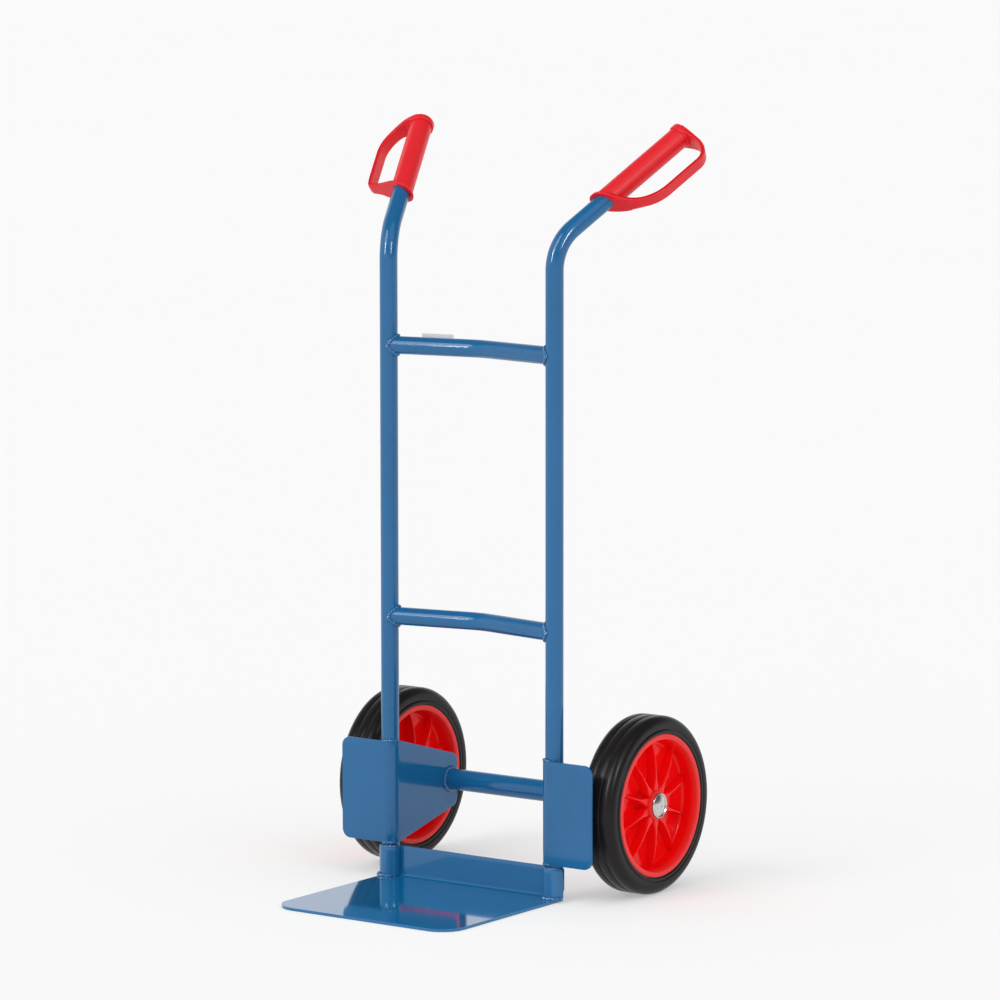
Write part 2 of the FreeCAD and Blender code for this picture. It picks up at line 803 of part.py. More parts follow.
def make_grip(name, side, guard_turn, base_radius, top_radius, end_radius):
    """A closed sleeve on the tube, with a knuckle guard from its collar to its far end.

    The body's own Z axis is the grip's axis and X points to the guard.
    """
    body = new_body(f"{name}_grip")
    collar = d.collar_diameter / 2
    strap = new_sketch(body, "XZ_Plane")
    outside, outside_arcs = guard_outline(0, base_radius, top_radius, end_radius)
    inside, inside_arcs = guard_outline(d.guard_thickness, base_radius, top_radius, end_radius)
    points = outside + inside[::-1]
    last = len(points) - 2
    arcs = dict(outside_arcs)
    arcs.update({last - i: centre for i, centre in inside_arcs.items()})
    draw(strap, points, arcs)
    pad(body, strap, d.collar_diameter, symmetric=True)

    trim = new_sketch(body, "XY_Plane")
    half = d.guard_width / 2
    beyond = 2 * d.guard_reach
    lead = 75
    start = (collar * cosine(as_size(lead)), collar * sine(as_size(lead)))
    draw(
        trim,
        [
            (-collar, 0),
            (start[0], -start[1]),
            (d.guard_taper_end, -half),
            (beyond, -half),
            (beyond, half),
            (d.guard_taper_end, half),
            start,
        ],
        {0: (0, 0), 6: (0, 0)},
    )
    draw(trim, [(-beyond, -beyond), (2 * beyond, -beyond), (2 * beyond, beyond), (-beyond, beyond)])
    pocket(body, trim, 4 * d.grip_length)

    sleeve = new_sketch(body, "XY_Plane")
    draw_circle(sleeve, 0, 0, d.grip_diameter / 2)
    pad(body, sleeve, 2 * d.grip_length, symmetric=True)
    flange = new_sketch(body, "XY_Plane", d.grip_length - d.grip_cap_length)
    draw_circle(flange, 0, 0, d.grip_cap_diameter / 2)
    pad(body, flange, d.grip_cap_length)

    ends = new_sketch(body, "XZ_Plane")
    lean = tangent(d.collar_tilt)
    draw(ends, [
        (-beyond, -(beyond * lean)),
        (-beyond, -2 * d.grip_length),
        (beyond, -2 * d.grip_length),
        (beyond, beyond * lean),
    ])
    pocket(body, ends, 4 * d.collar_diameter)
    bore = new_sketch(body, "XY_Plane")
    draw_circle(bore, 0, 0, tube_radius + d.grip_bore_fit)
    pocket(body, bore, 2 * (d.grip_length - d.grip_end_wall + d.grip_bore_fit))

    bend = float(d.bend_angle)
    outward = Vector(side, 0, 0)
    heading = Rotation(Vector(0, 0, 1), -side * float(d.bend_outward)).multVec(Vector(0, 1, 0))
    across = Rotation(Vector(0, 0, 1), -side * float(d.bend_outward)).multVec(outward)
    axis = heading * math.sin(math.radians(bend)) + Vector(0, 0, math.cos(math.radians(bend)))
    down = heading * math.cos(math.radians(bend)) - Vector(0, 0, math.sin(math.radians(bend)))
    turn = math.radians(float(guard_turn))
    to_guard = across * math.cos(turn) + down * math.sin(turn)
    rise = float(d.bend_radius) * math.sin(math.radians(bend))
    shift = float(d.bend_radius) * (1 - math.cos(math.radians(bend)))
    start_of_run = Vector(side * float(half_spacing), 0, float(d.bend_height) + rise) + heading * shift
    origin = start_of_run + axis * float(d.handle_run)
    body.Placement = Placement(origin, Rotation(to_guard, axis.cross(to_guard), axis, "ZXY"))


def make_label(slope):
    """A blank plate behind the left half of the upper cross tube, its top above the tube."""
    plate = doc.addObject("Part::Box", "label_plate")
    plate.Label = "label_plate"
    bind(plate, Length=d.label_width, Width=d.label_thickness, Height=d.label_height)
    behind = tube_radius + d.weld_gap
    place(
        plate,
        -half_spacing + d.label_offset * cosine(slope) - behind * sine(slope),
        d.label_offset * sine(slope) + behind * cosine(slope),
        upper_tube_height + tube_radius + d.label_rise - d.label_height,
        angle=slope,
    )


def check(nodes):
    """Stops if any object failed, any cut removed nothing or any piece isn't a valid solid."""
    for item in doc.Objects:
        if "Invalid" in item.State or "Error" in item.State:
            raise RuntimeError(f"{item.Name} failed: {item.State}")
        if item.TypeId == "PartDesign::Pocket" and item.BaseFeature:
            if item.Shape.Volume >= item.BaseFeature.Shape.Volume:
                raise RuntimeError(f"{item.Name} cuts nothing")
    for node in nodes:
        shape = node.Shape
        if shape.isNull() or not shape.isValid() or not shape.Solids:
            raise RuntimeError(f"{node.Label} isn't a valid solid")


def main():
    for name, side in SIDES:
        make_upright(name, side)
        make_bracket(name, side)
        make_rim(name, side)
        make_tyre(name, side)
        make_cap(name, side)
        make_axle_rings(name, side)
        make_bearing(name, side)
    make_grip("left", -1, d.left_guard_turn, d.left_base_radius, d.left_top_radius, d.left_end_radius)
    make_grip("right", 1, d.right_guard_turn, d.right_base_radius, d.right_top_radius, d.right_end_radius)
    make_cross_tube("lower_cross_tube", d.lower_tube_height)
    slope = make_cross_tube("upper_cross_tube", upper_tube_height)
    make_axle_tube()
    make_toe_plate()
    make_axle()
    make_label(slope)
    doc.recompute()

    loose = ("Part::Compound", "Part::Box")
    nodes = [item for item in doc.Objects if item.TypeId == "PartDesign::Body" or item.TypeId in loose]
    check(nodes)
    os.makedirs("parts", exist_ok=True)
    for node in nodes:
        node.Shape.exportStep(f"parts/{node.Label}.step")
        print(node.Label, len(node.Shape.Solids), f"{node.Shape.Volume:.0f}", node.Shape.BoundBox)


main()
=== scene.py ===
"""Two-wheel hand truck: its finishes, weld beads, wheels, sheet parts and grips round the frame."""

import math

import bmesh
import bpy
import numpy as np
from bpy.props import FloatProperty, FloatVectorProperty, PointerProperty
from bpy.types import Operator, Panel, PropertyGroup
from mathutils import Matrix, Vector


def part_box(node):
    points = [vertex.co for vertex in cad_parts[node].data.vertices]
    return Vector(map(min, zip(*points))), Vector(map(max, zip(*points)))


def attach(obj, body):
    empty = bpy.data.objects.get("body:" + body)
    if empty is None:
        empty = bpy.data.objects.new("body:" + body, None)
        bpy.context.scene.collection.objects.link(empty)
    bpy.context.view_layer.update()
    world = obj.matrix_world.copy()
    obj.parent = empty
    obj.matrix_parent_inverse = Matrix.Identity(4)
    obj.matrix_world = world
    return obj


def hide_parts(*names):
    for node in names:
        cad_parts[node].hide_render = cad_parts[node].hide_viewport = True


bl_info = {
    "name": "Hand Truck",
    "version": (1, 0, 0),
    "blender": (4, 5, 0),
    "location": "View3D > Sidebar > Hand Truck",
    "description": "Builds the visible pieces of a two-wheel hand truck round its packed frame",
    "category": "Object",
}

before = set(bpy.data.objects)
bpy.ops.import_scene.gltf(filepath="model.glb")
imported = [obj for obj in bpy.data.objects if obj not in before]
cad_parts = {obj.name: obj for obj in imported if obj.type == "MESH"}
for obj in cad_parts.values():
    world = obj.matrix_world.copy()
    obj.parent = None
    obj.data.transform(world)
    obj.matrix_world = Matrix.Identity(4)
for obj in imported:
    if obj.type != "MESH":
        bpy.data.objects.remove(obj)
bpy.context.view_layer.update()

SIDES = (("left", -1.0), ("right", 1.0))
ROOT_BODY = "frame"
FRAME_SLOT = "frame_paint"
UP = (0.0, 0.0, 1.0)
RIB_COUNT = 10

# Distance of a wheel's centre plane from the truck's, and half the width of a rim, in metres.
RIM_PLANE = 0.2075
RIM_HALF_WIDTH = 0.0245


# ---------------------------------------------------------------- sizes that a user can change


def length(name, default, description):
    return FloatProperty(
        name=name, default=default, min=0.0, unit="LENGTH", precision=5, description=description
    )


def angle(name, degrees, description):
    return FloatProperty(name=name, default=math.radians(degrees), subtype="ANGLE", description=description)


def colour(name, default, description):
    return FloatVectorProperty(
        name=name, default=default, size=3, min=0.0, max=1.0, subtype="COLOR", description=description
    )


class TruckFrameSettings(PropertyGroup):
    """Sizes of the tube and sheet work, in metres."""

    tube_radius: length("Tube radius", 0.0125, "Outside radius of the uprights and cross tubes")
    half_spacing: length("Half spacing", 0.140, "Centre plane to the axis of an upright")
    bend_height: length("Bend height", 0.867, "Floor to the start of the handle bend")
    bend_radius: length("Bend radius", 0.068, "Axis radius of the handle bend")
    bend_turn: angle("Bend turn", 55.4, "Turn of the handle bend")
    bend_outward: angle("Outward turn", 23.3, "How far the plane of the bend is turned outwards")
    handle_run: length("Handle run", 0.059, "End of the bend to the grip")
    tube_foot: length("Tube foot", 0.00415, "Floor to the bottom end of an upright")
    tube_tail: length("Tube in grip", 0.152, "How far the tube runs inside the grip")
    cross_bow: length("Cross tube bow", 0.0257, "How far a cross tube bows back")
    cross_bend: length("Cross tube bend", 0.090, "Axis radius of the bend in a cross tube")
    sheet: length("Sheet", 0.003, "Thickness of the brackets and the upstand")
    seat_gap: length("Seat gap", 0.00015, "Gap between a curved sheet and its tube")
    weld_size: length("Weld size", 0.0028, "Radius of a weld bead")
    weld_ripple: length("Weld ripple", 0.0036, "Length of one ripple of a weld bead")


class TruckPlateSettings(PropertyGroup):
    """Sizes of the toe plate and of the wheel brackets, in metres."""

    blade_half_width: length("Blade half width", 0.150, "Half the width of the blade")
    blade_front: length("Blade front", 0.260, "Upright axes to the front edge")
    blade_thickness: length("Blade thickness", 0.004, "Sheet of the blade")
    blade_corner: length("Blade corner", 0.036, "Radius of the front corners")
    upstand_front: length("Upstand front", 0.003, "Upright axes back to the face of the upstand")
    fold_inside: length("Fold inside", 0.0028, "Inside radius between blade and upstand")
    wrap_reach: length("Wrap reach", 0.002, "How far back round the tube an end of the upstand goes")
    wrap_cut: length("Wrap cut", 0.014, "Height of the cut at the foot of a wrap")
    bracket_reach: length("Bracket reach", 0.0725, "Upright axis to the outer edge of a bracket")
    bracket_corner: length("Bracket corner", 0.013, "Radius of the outer corners of a bracket")
    rear_corner: length("Rear corner", 0.009, "Radius of the rear corners of a side plate")
    rear_top_drop: length("Rear top drop", 0.0389, "How far the top edge falls towards the rear")
    rear_foot_rise: length("Rear foot rise", 0.0339, "How far the bottom edge rises towards the rear")
    edge_round: length("Edge rounding", 0.0006, "Rounding of the sheet edges under the paint")


class TruckWheelSettings(PropertyGroup):
    """Sizes of the tyres, rims and caps, in metres."""

    shoulder: length("Shoulder", 0.012, "Radius of the shoulders of a tyre")
    groove_place: length("Groove place", 0.0075, "Wheel's centre plane to a tread groove")
    groove_half: length("Groove half width", 0.0009, "Half the width of a tread groove")
    groove_depth: length("Groove depth", 0.0011, "Depth of a tread groove")
    rim_radius: length("Rim radius", 0.0994, "Edge of the rim's lips")
    lip_ring: length("Lip ring", 0.0078, "Width of the flat ring of a lip")
    web_half: length("Half web", 0.0025, "Half the thickness of the web")
    wall_fillet: length("Wall fillet", 0.005, "Fillet between the web and the wall under a lip")
    wall_draft: length("Wall draft", 0.0025, "How far the wall under a lip leans inwards")
    hub_radius: length("Hub radius", 0.0205, "Hub face")
    hub_bore: length("Hub bore", 0.0146, "Bore for the bearing shell")
    hub_outer: length("Outer hub face", 0.022, "Wheel's centre plane to the outer hub face")
    hub_inner: length("Inner hub face", 0.0235, "Wheel's centre plane to the inner hub face")
    rib_crest: length("Rib crest", 0.00085, "Half the thickness of a rib's crest at the rim")
    rib_flare: length("Rib flare", 0.0058, "Extra half thickness of a rib at the hub")
    rib_end: length("Rib end", 0.0890, "Radius where the ribs meet the wall")
    rib_drop: length("Rib drop", 0.0030, "Hub face down to the crest of a rib")
    rib_foot: length("Rib foot", 0.0060, "Height of a rib above the web where it meets the wall")
    rib_curve: FloatProperty(name="Rib curve", default=4.0, min=0.5, max=6.0,
                             description="How late the crest of a rib falls: 1 is a straight line")


class TruckGripSettings(PropertyGroup):
    """Sizes of the grips, in metres."""

    sleeve_radius: length("Sleeve radius", 0.0157, "Outside radius of a sleeve")
    bore_radius: length("Bore radius", 0.01265, "Hole for the tube")
    total: length("Length", 0.158, "Collar to the closed end, along the axis")
    cap_radius: length("Cap radius", 0.0177, "Flange at the closed end")
    cap_depth: length("Cap depth", 0.0105, "Flange at the closed end, along the axis")
    collar_radius: length("Collar radius", 0.0186, "Collar at the open end")
    collar_lean: angle("Collar lean", 26.0, "Lean of the collar towards the guard")
    reach: length("Guard reach", 0.0575, "Grip axis to the outside of the guard")
    strap: length("Guard thickness", 0.0055, "Thickness of the guard strap")
    half_width: length("Guard half width", 0.009, "Half the width of the guard strap")
    groove: length("Edge groove", 0.0015, "Depth of the groove along the edges of the strap")
    left_turn: angle("Left guard turn", 19.0, "Left guard, turned down from straight outwards")
    right_turn: angle("Right guard turn", 30.5, "Right guard, turned down from straight outwards")


class TruckColourSettings(PropertyGroup):
    """Colours of the finishes."""

    paint: colour("Paint", (0.0075, 0.116, 0.288), "Powder coat of tubes and sheet parts")
    plate: colour("Plate paint", (0.0040, 0.130, 0.320), "Powder coat of the toe plate")
    grip: colour("Grip", (0.74, 0.008, 0.017), "Plastic of the grips")
    rim: colour("Rim", (0.93, 0.0030, 0.0040), "Plastic of the rims")
    rim_painted_sheen: colour("Painted rim sheen", (0.82, 0.034, 0.032), "Outermost faces of the rims")
    # Painted sheen: a lighter red painted on the outermost faces of the rims, standing in for their gloss
    # haze.
    tyre: colour("Tyre", (0.0085, 0.0070, 0.0076), "Rubber of the tyres")
    zinc: colour("Zinc", (0.62, 0.63, 0.62), "Zinc plating")
    floor: colour("Floor", (0.56, 0.56, 0.56), "Floor")


# ---------------------------------------------------------------- meshes from arrays


def grid_faces(rows, columns, close_rows, close_columns):
    """Indexes of the four corners of every cell of a grid of points."""
    r = np.arange(rows if close_rows else rows - 1)[:, None]
    c = np.arange(columns if close_columns else columns - 1)[None, :]
    here = r * columns + c
    right = r * columns + (c + 1) % columns
    below = (r + 1) % rows * columns + c
    across = (r + 1) % rows * columns + (c + 1) % columns
    return np.stack([here, right, across, below], -1).reshape(-1, 4)


def grid_part(points, close_rows=False, close_columns=False):
    """A grid of points and its faces, ready for new_mesh."""
    rows, columns = points.shape[:2]
    return points.reshape(-1, 3), grid_faces(rows, columns, close_rows, close_columns)


def new_mesh(name, parts, merge=2e-6):
    """One mesh from several grids: points that meet become one and faces are turned outwards."""
    starts = np.cumsum([0] + [len(points) for points, _ in parts])
    points = np.concatenate([part[0] for part in parts])
    faces = np.concatenate([part[1] + start for part, start in zip(parts, starts)])
    mesh = bpy.data.meshes.new(name)
    mesh.from_pydata(points.tolist(), [], faces.tolist())
    work = bmesh.new()
    work.from_mesh(mesh)
    bmesh.ops.remove_doubles(work, verts=work.verts, dist=merge)
    bmesh.ops.dissolve_degenerate(work, edges=work.edges, dist=merge / 2)
    bmesh.ops.recalc_face_normals(work, faces=work.faces)
    work.to_mesh(mesh)
    work.free()
    mesh.update()
    return mesh


def unit(vectors):
    """Each vector divided by its own length."""
    return vectors / np.linalg.norm(vectors, axis=1, keepdims=True)


def length_along(points):
    """Length along a polyline from its first point to each point."""
    steps = np.linalg.norm(np.diff(points, axis=0), axis=1)
    return np.concatenate([[0.0], np.cumsum(steps)])


def capped(rings, first, last):
    """A row of closed rings whose two ends are drawn in to one point each."""
    start, end = (np.broadcast_to(point, (1, rings.shape[1], 3)) for point in (first, last))
    return grid_part(np.concatenate([start, rings, end]), close_columns=True)


def smooth(mesh, degrees=35.0):
    """Smooth shading, broken where two faces meet at more than the given angle."""
    mesh.polygons.foreach_set("use_smooth", np.ones(len(mesh.polygons), bool))
    mesh.set_sharp_from_angle(angle=math.radians(degrees))
    mesh.update()


def new_object(name, mesh):
    piece = bpy.data.objects.new(name, mesh)
    bpy.context.scene.collection.objects.link(piece)
    return piece


def smooth_object(name, parts, degrees=35.0):
    """A smooth-shaded object made from several grids."""
    mesh = new_mesh(name, parts)
    smooth(mesh, degrees)
    return new_object(name, mesh)


def finish_piece(piece, material, body, slot, *nodes):
    """Gives a piece its material and its body, and hides the CAD nodes that it stands for."""
    piece.data.materials.clear()
    piece.data.materials.append(material)
    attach(piece, body)
    if nodes:
        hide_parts(*nodes)


def bake_modifiers(piece):
    """Puts the result of a piece's modifiers into its mesh."""
    depsgraph = bpy.context.evaluated_depsgraph_get()
    result = bpy.data.meshes.new_from_object(piece.evaluated_get(depsgraph))
    piece.modifiers.clear()
    old = piece.data
    piece.data = result
    bpy.data.meshes.remove(old)


def combine(piece, others, operation):
    """Joins closed shapes to a closed piece, or cuts them from it, and removes them."""
    for other in others:
        step = piece.modifiers.new(operation.title(), "BOOLEAN")
        step.operation = operation
        step.solver = "MANIFOLD"
        step.object = other
    bake_modifiers(piece)
    for other in others:
        mesh = other.data
        bpy.data.objects.remove(other)
        bpy.data.meshes.remove(mesh)


def round_edges(piece, width, segments=2):
    """Rounds the edges where two faces meet at more than 50 degrees."""
    bevel = piece.modifiers.new("Edge rounding", "BEVEL")
    bevel.width = width
    bevel.segments = segments
    bevel.limit_method = "ANGLE"
    bevel.angle_limit = math.radians(50)
    bevel.harden_normals = False
    bake_modifiers(piece)


def turn_points(profile, columns):
    """A profile of (radius, height) pairs turned round the axis: (r cos a, r sin a, height)."""
    a = np.arange(columns) * (2 * np.pi / columns)
    r = profile[:, 0][:, None]
    z = np.broadcast_to(profile[:, 1][:, None], (len(profile), columns))
    return np.stack([r * np.cos(a), r * np.sin(a), z], -1)


def arc_points(centre, radius, start, end, count):
    """Points of a circle's arc from one angle to another, in degrees."""
    a = np.radians(np.linspace(start, end, count))
    return np.stack([centre[0] + radius * np.cos(a), centre[1] + radius * np.sin(a)], -1)


def joined(*pieces):
    """One polyline from several, without the repeated points where they meet."""
    points = np.concatenate([np.atleast_2d(np.asarray(piece, float)) for piece in pieces])
    apart = np.linalg.norm(np.diff(points, axis=0), axis=1) > 1e-7
    return points[np.concatenate([[True], apart])]


def evenly(points, count):
    """The same polyline, cut into steps of equal length."""
    along = length_along(points)
    wanted = np.linspace(0.0, along[-1], count)
    return np.stack([np.interp(wanted, along, points[:, i]) for i in range(points.shape[1])], -1)


def solid_tube(path, side, radius, columns=48):
    """A round bar along a path, closed at both ends by its own centre points.

    Every point is the path's point plus radius times (side cos a + (side x tangent) sin a), where
    side is a direction at right angles to the whole path, or one for each point of it.
    """
    tangent = unit(np.gradient(path, axis=0))
    side = np.broadcast_to(np.asarray(side, float), path.shape)
    other = unit(np.cross(side, tangent))
    a = (np.arange(columns) * (2 * np.pi / columns))[None, :, None]
    radius = np.broadcast_to(np.asarray(radius, float), path.shape[:1])[:, None, None]
    ring = path[:, None] + radius * (side[:, None] * np.cos(a) + other[:, None] * np.sin(a))
    return capped(ring, path[0], path[-1])


# ---------------------------------------------------------------- finishes


class Finish:
    """A node material on Object coordinates, built up from a few procedural layers."""

    def __init__(self, name):
        self.material = bpy.data.materials.new(name)
        self.material.use_nodes = True
        self.nodes = self.material.node_tree.nodes
        self.links = self.material.node_tree.links
        self.shader = self.nodes["Principled BSDF"]
        self.place = self.nodes.new("ShaderNodeTexCoord").outputs["Object"]

    def link(self, output, node, socket):
        self.links.new(output, node.inputs[socket])

    def scaled(self, scale):
        """The place with each axis scaled, for a pattern that is longer one way."""
        node = self.nodes.new("ShaderNodeMapping")
        node.inputs["Scale"].default_value = scale
        self.link(self.place, node, "Vector")
        return node.outputs["Vector"]

    def noise(self, scale, detail=3.0, roughness=0.5, place=None):
        node = self.nodes.new("ShaderNodeTexNoise")
        node.inputs["Scale"].default_value = scale
        node.inputs["Detail"].default_value = detail
        node.inputs["Roughness"].default_value = roughness
        self.link(self.place if place is None else place, node, "Vector")
        return node.outputs["Fac"]

    def cells(self, scale):
        node = self.nodes.new("ShaderNodeTexVoronoi")
        node.inputs["Scale"].default_value = scale
        self.link(self.place, node, "Vector")
        return node

    def remap(self, value, from_low, from_high, low, high):
        node = self.nodes.new("ShaderNodeMapRange")
        node.inputs["From Min"].default_value = from_low
        node.inputs["From Max"].default_value = from_high
        node.inputs["To Min"].default_value = low
        node.inputs["To Max"].default_value = high
        self.link(value, node, "Value")
        return node.outputs["Result"]

    def math(self, operation, first, second):
        node = self.nodes.new("ShaderNodeMath")
        node.operation = operation
        for socket, value in enumerate((first, second)):
            if isinstance(value, float):
                node.inputs[socket].default_value = value
            else:
                self.link(value, node, socket)
        return node.outputs["Value"]

    def blend(self, factor, first, second):
        node = self.nodes.new("ShaderNodeMix")
        node.data_type = "RGBA"
        node.inputs["Factor"].default_value = 0.5
        self.link(factor, node, "Factor")
        for socket, value in (("A", first), ("B", second)):
            target = next(i for i in node.inputs if i.name == socket and i.type == "RGBA")
            if isinstance(value, tuple):
                target.default_value = (*value, 1.0)
            else:
                self.links.new(value, target)
        return next(o for o in node.outputs if o.type == "RGBA")

    def bump(self, height, strength, distance, below=None):
        node = self.nodes.new("ShaderNodeBump")
        node.inputs["Strength"].default_value = strength
        node.inputs["Distance"].default_value = distance
        self.link(height, node, "Height")
        if below is not None:
            self.link(below, node, "Normal")
        return node.outputs["Normal"]

    def done(self, colour, roughness, normal, **constants):
        self.link(colour, self.shader, "Base Color")
        self.link(roughness, self.shader, "Roughness")
        if normal is not None:
            self.link(normal, self.shader, "Normal")
        for socket, value in constants.items():
            self.shader.inputs[socket.replace("_", " ")].default_value = value
        return self.material


def shade(base, factor):
    """A colour made darker or lighter."""
    return tuple(min(1.0, channel * factor) for channel in base)


def powder_coat(name, base, gloss, lacquer=0.0):
    """Glossy powder coat: a slow drift of depth, fine flow and orange peel, a few dust nibs."""
    finish = Finish(name)
    drift = finish.noise(9.0, 4.0, 0.6)
    depth = finish.remap(drift, 0.3, 0.7, 0.0, 1.0)
    body = finish.blend(depth, shade(base, 0.93), shade(base, 1.07))
    mottle = finish.remap(finish.noise(170.0, 2.0), 0.35, 0.65, 0.0, 1.0)
    body = finish.blend(finish.math("MULTIPLY", mottle, 0.10), body, shade(base, 1.25))
    sheen = finish.remap(finish.noise(28.0, 5.0, 0.6), 0.3, 0.7, gloss * 0.8, gloss * 1.35)
    peel = finish.bump(finish.noise(420.0, 2.0, 0.4), 0.06, 0.00010)
    flow = finish.bump(finish.noise(60.0, 2.0, 0.5), 0.04, 0.0003, peel)
    nibs = finish.remap(finish.cells(260.0).outputs["Distance"], 0.0, 0.06, 1.0, 0.0)
    return finish.done(
        body, sheen, finish.bump(nibs, 0.05, 0.0001, flow), IOR=1.5, Coat_Weight=lacquer, Coat_Roughness=0.05
    )


def moulded_plastic(name, base, roughness, grain, gloss, proud=None):
    """Injection-moulded plastic: faint flow of colour, a fine spark-eroded grain, light scuffs.

    With proud = (distance of the wheel's centre plane, half width, colour) the outermost faces
    get a painted sheen: they are painted lighter than the deep ones, in place of their gloss haze.
    """
    finish = Finish(name)
    flow = finish.remap(finish.noise(14.0, 4.0, 0.6, finish.scaled((1.0, 1.0, 0.5))), 0.3, 0.7, 0.0, 1.0)
    body = finish.blend(flow, shade(base, 0.92), shade(base, 1.05))
    # Painted sheen: the outermost faces are painted in a lighter red, standing in for the gloss haze that
    # light leaves on them.
    if proud:
        plane, half, sheen_colour = proud
        axes = finish.nodes.new("ShaderNodeSeparateXYZ")
        finish.link(finish.place, axes, "Vector")
        from_middle = finish.math("ABSOLUTE", axes.outputs["X"], 0.0)
        depth = finish.math("ABSOLUTE", finish.math("SUBTRACT", from_middle, plane), 0.0)
        outermost = finish.remap(depth, half * 0.62, half * 0.97, 0.0, 1.0)
        body = finish.blend(outermost, body, sheen_colour)
    scuffs = finish.noise(45.0, 8.0, 0.7, finish.scaled((3.0, 1.0, 1.0)))
    dull = finish.remap(scuffs, 0.45, 0.75, roughness * 0.88, roughness * 1.3)
    fine = finish.bump(finish.noise(1500.0, 2.0, 0.5), grain, 0.00008)
    soft = finish.bump(finish.noise(70.0, 2.0, 0.5), 0.06, 0.0005, fine)
    return finish.done(body, dull, soft, IOR=1.5, Specular_IOR_Level=gloss)


def solid_rubber(name, base):
    """Solid tyre rubber: a matte black with a dusty bloom, fine grain and faint mould marks."""
    finish = Finish(name)
    bloom = finish.remap(finish.noise(22.0, 6.0, 0.65), 0.35, 0.75, 0.0, 1.0)
    body = finish.blend(bloom, shade(base, 0.85), shade(base, 1.45))
    matte = finish.remap(finish.noise(60.0, 5.0, 0.6), 0.3, 0.7, 0.25, 0.36)
    grain = finish.bump(finish.noise(900.0, 3.0, 0.6), 0.18, 0.0001)
    waves = finish.bump(finish.noise(90.0, 3.0, 0.5, finish.scaled((0.3, 1.0, 1.0))), 0.10, 0.0006, grain)
    return finish.done(body, matte, waves, IOR=1.5, Specular_IOR_Level=0.20)


def zinc_plating(name, base, roughness):
    """Bright zinc plating on pressed steel: small spangle cells, hairlines and a cloudy dulling."""
    finish = Finish(name)
    spangle = finish.cells(380.0)
    tint = finish.remap(spangle.outputs["Distance"], 0.0, 0.9, 0.0, 1.0)
    body = finish.blend(tint, shade(base, 1.08), shade(base, 0.86))
    cloud = finish.noise(110.0, 5.0, 0.6)
    dull = finish.remap(cloud, 0.3, 0.7, roughness * 0.7, roughness * 1.5)
    hairs = finish.noise(500.0, 3.0, 0.6, finish.scaled((1.0, 12.0, 1.0)))
    normal = finish.bump(hairs, 0.06, 0.00006)
    return finish.done(body, dull, normal, Metallic=1.0)


def ground_steel(name, base):
    """Ground bearing steel: fine grinding lines round the piece."""
    finish = Finish(name)
    lines = finish.noise(700.0, 2.0, 0.5, finish.scaled((14.0, 1.0, 1.0)))
    body = finish.blend(finish.remap(lines, 0.3, 0.7, 0.0, 1.0), shade(base, 0.9), shade(base, 1.1))
    dull = finish.remap(finish.noise(90.0, 3.0), 0.3, 0.7, 0.16, 0.28)
    return finish.done(body, dull, finish.bump(lines, 0.08, 0.00004), Metallic=1.0)


def plate_finish(name, base):
    """Smooth white plate with a faint cloud in its colour and a slight haze."""
    finish = Finish(name)
    cloud = finish.remap(finish.noise(30.0, 4.0, 0.6), 0.3, 0.7, 0.0, 1.0)
    body = finish.blend(cloud, shade(base, 0.96), shade(base, 1.03))
    dull = finish.remap(finish.noise(80.0, 4.0, 0.6), 0.3, 0.7, 0.30, 0.42)
    return finish.done(body, dull, finish.bump(finish.noise(900.0, 2.0), 0.05, 0.00005))


def finish_named(name):
    """The material with that name, made on its first use."""
    found = bpy.data.materials.get(name)
    if found:
        return found
    tones = bpy.context.scene.truck_colours
    makers = {
        "blue_powder_coat": lambda: powder_coat(name, tuple(tones.paint), 0.095),
        "blue_plate_coat": lambda: powder_coat(name, tuple(tones.plate), 0.07, 0.35),
        "weld_coat": lambda: powder_coat(name, tuple(tones.paint), 0.06, 0.6),
        "grip_moulding_finish": lambda: moulded_plastic(name, tuple(tones.grip), 0.38, 0.20, 0.34),
        "rim_moulding_finish": lambda: moulded_plastic(
            name, tuple(tones.rim), 0.09, 0.03, 0.18, (RIM_PLANE, RIM_HALF_WIDTH, tuple(tones.rim_painted_sheen))
        ),
        "tyre_compound": lambda: solid_rubber(name, tuple(tones.tyre)),
        "zinc_coating": lambda: zinc_plating(name, tuple(tones.zinc), 0.13),
        "ground_steel_finish": lambda: ground_steel(name, (0.52, 0.52, 0.53)),
        "cage_moulding_finish": lambda: moulded_plastic(name, (0.66, 0.62, 0.50), 0.42, 0.15, 0.5),
        "label_enamel": lambda: plate_finish(name, (0.80, 0.80, 0.80)),
    }
    return makers[name]()


def paint_node(node, material_name):
    """A CAD node that keeps its shape gets its finish."""
    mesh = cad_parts[node].data
    mesh.materials.clear()
    mesh.materials.append(finish_named(material_name))


# ---------------------------------------------------------------- tubes


def upright_path(side):
    """Axis of an upright: straight up, an arc, then a straight run into the grip."""
    s = bpy.context.scene.truck_frame
    turn = np.linspace(0.0, s.bend_turn, 40)
    straight = np.linspace(s.tube_foot, s.bend_height, 60)
    back = np.concatenate([np.zeros(60), s.bend_radius * (1 - np.cos(turn[1:]))])
    up = np.concatenate([straight, s.bend_height + s.bend_radius * np.sin(turn[1:])])
    run = np.linspace(0.0, s.handle_run + s.tube_tail, 30)[1:]
    back = np.concatenate([back, back[-1] + run * math.sin(s.bend_turn)])
    up = np.concatenate([up, up[-1] + run * math.cos(s.bend_turn)])
    heading = np.array([side * math.sin(s.bend_outward), math.cos(s.bend_outward)])
    x = side * s.half_spacing + back * heading[0]
    return np.stack([x, back * heading[1], up], -1), np.array([heading[1], -heading[0], 0.0])


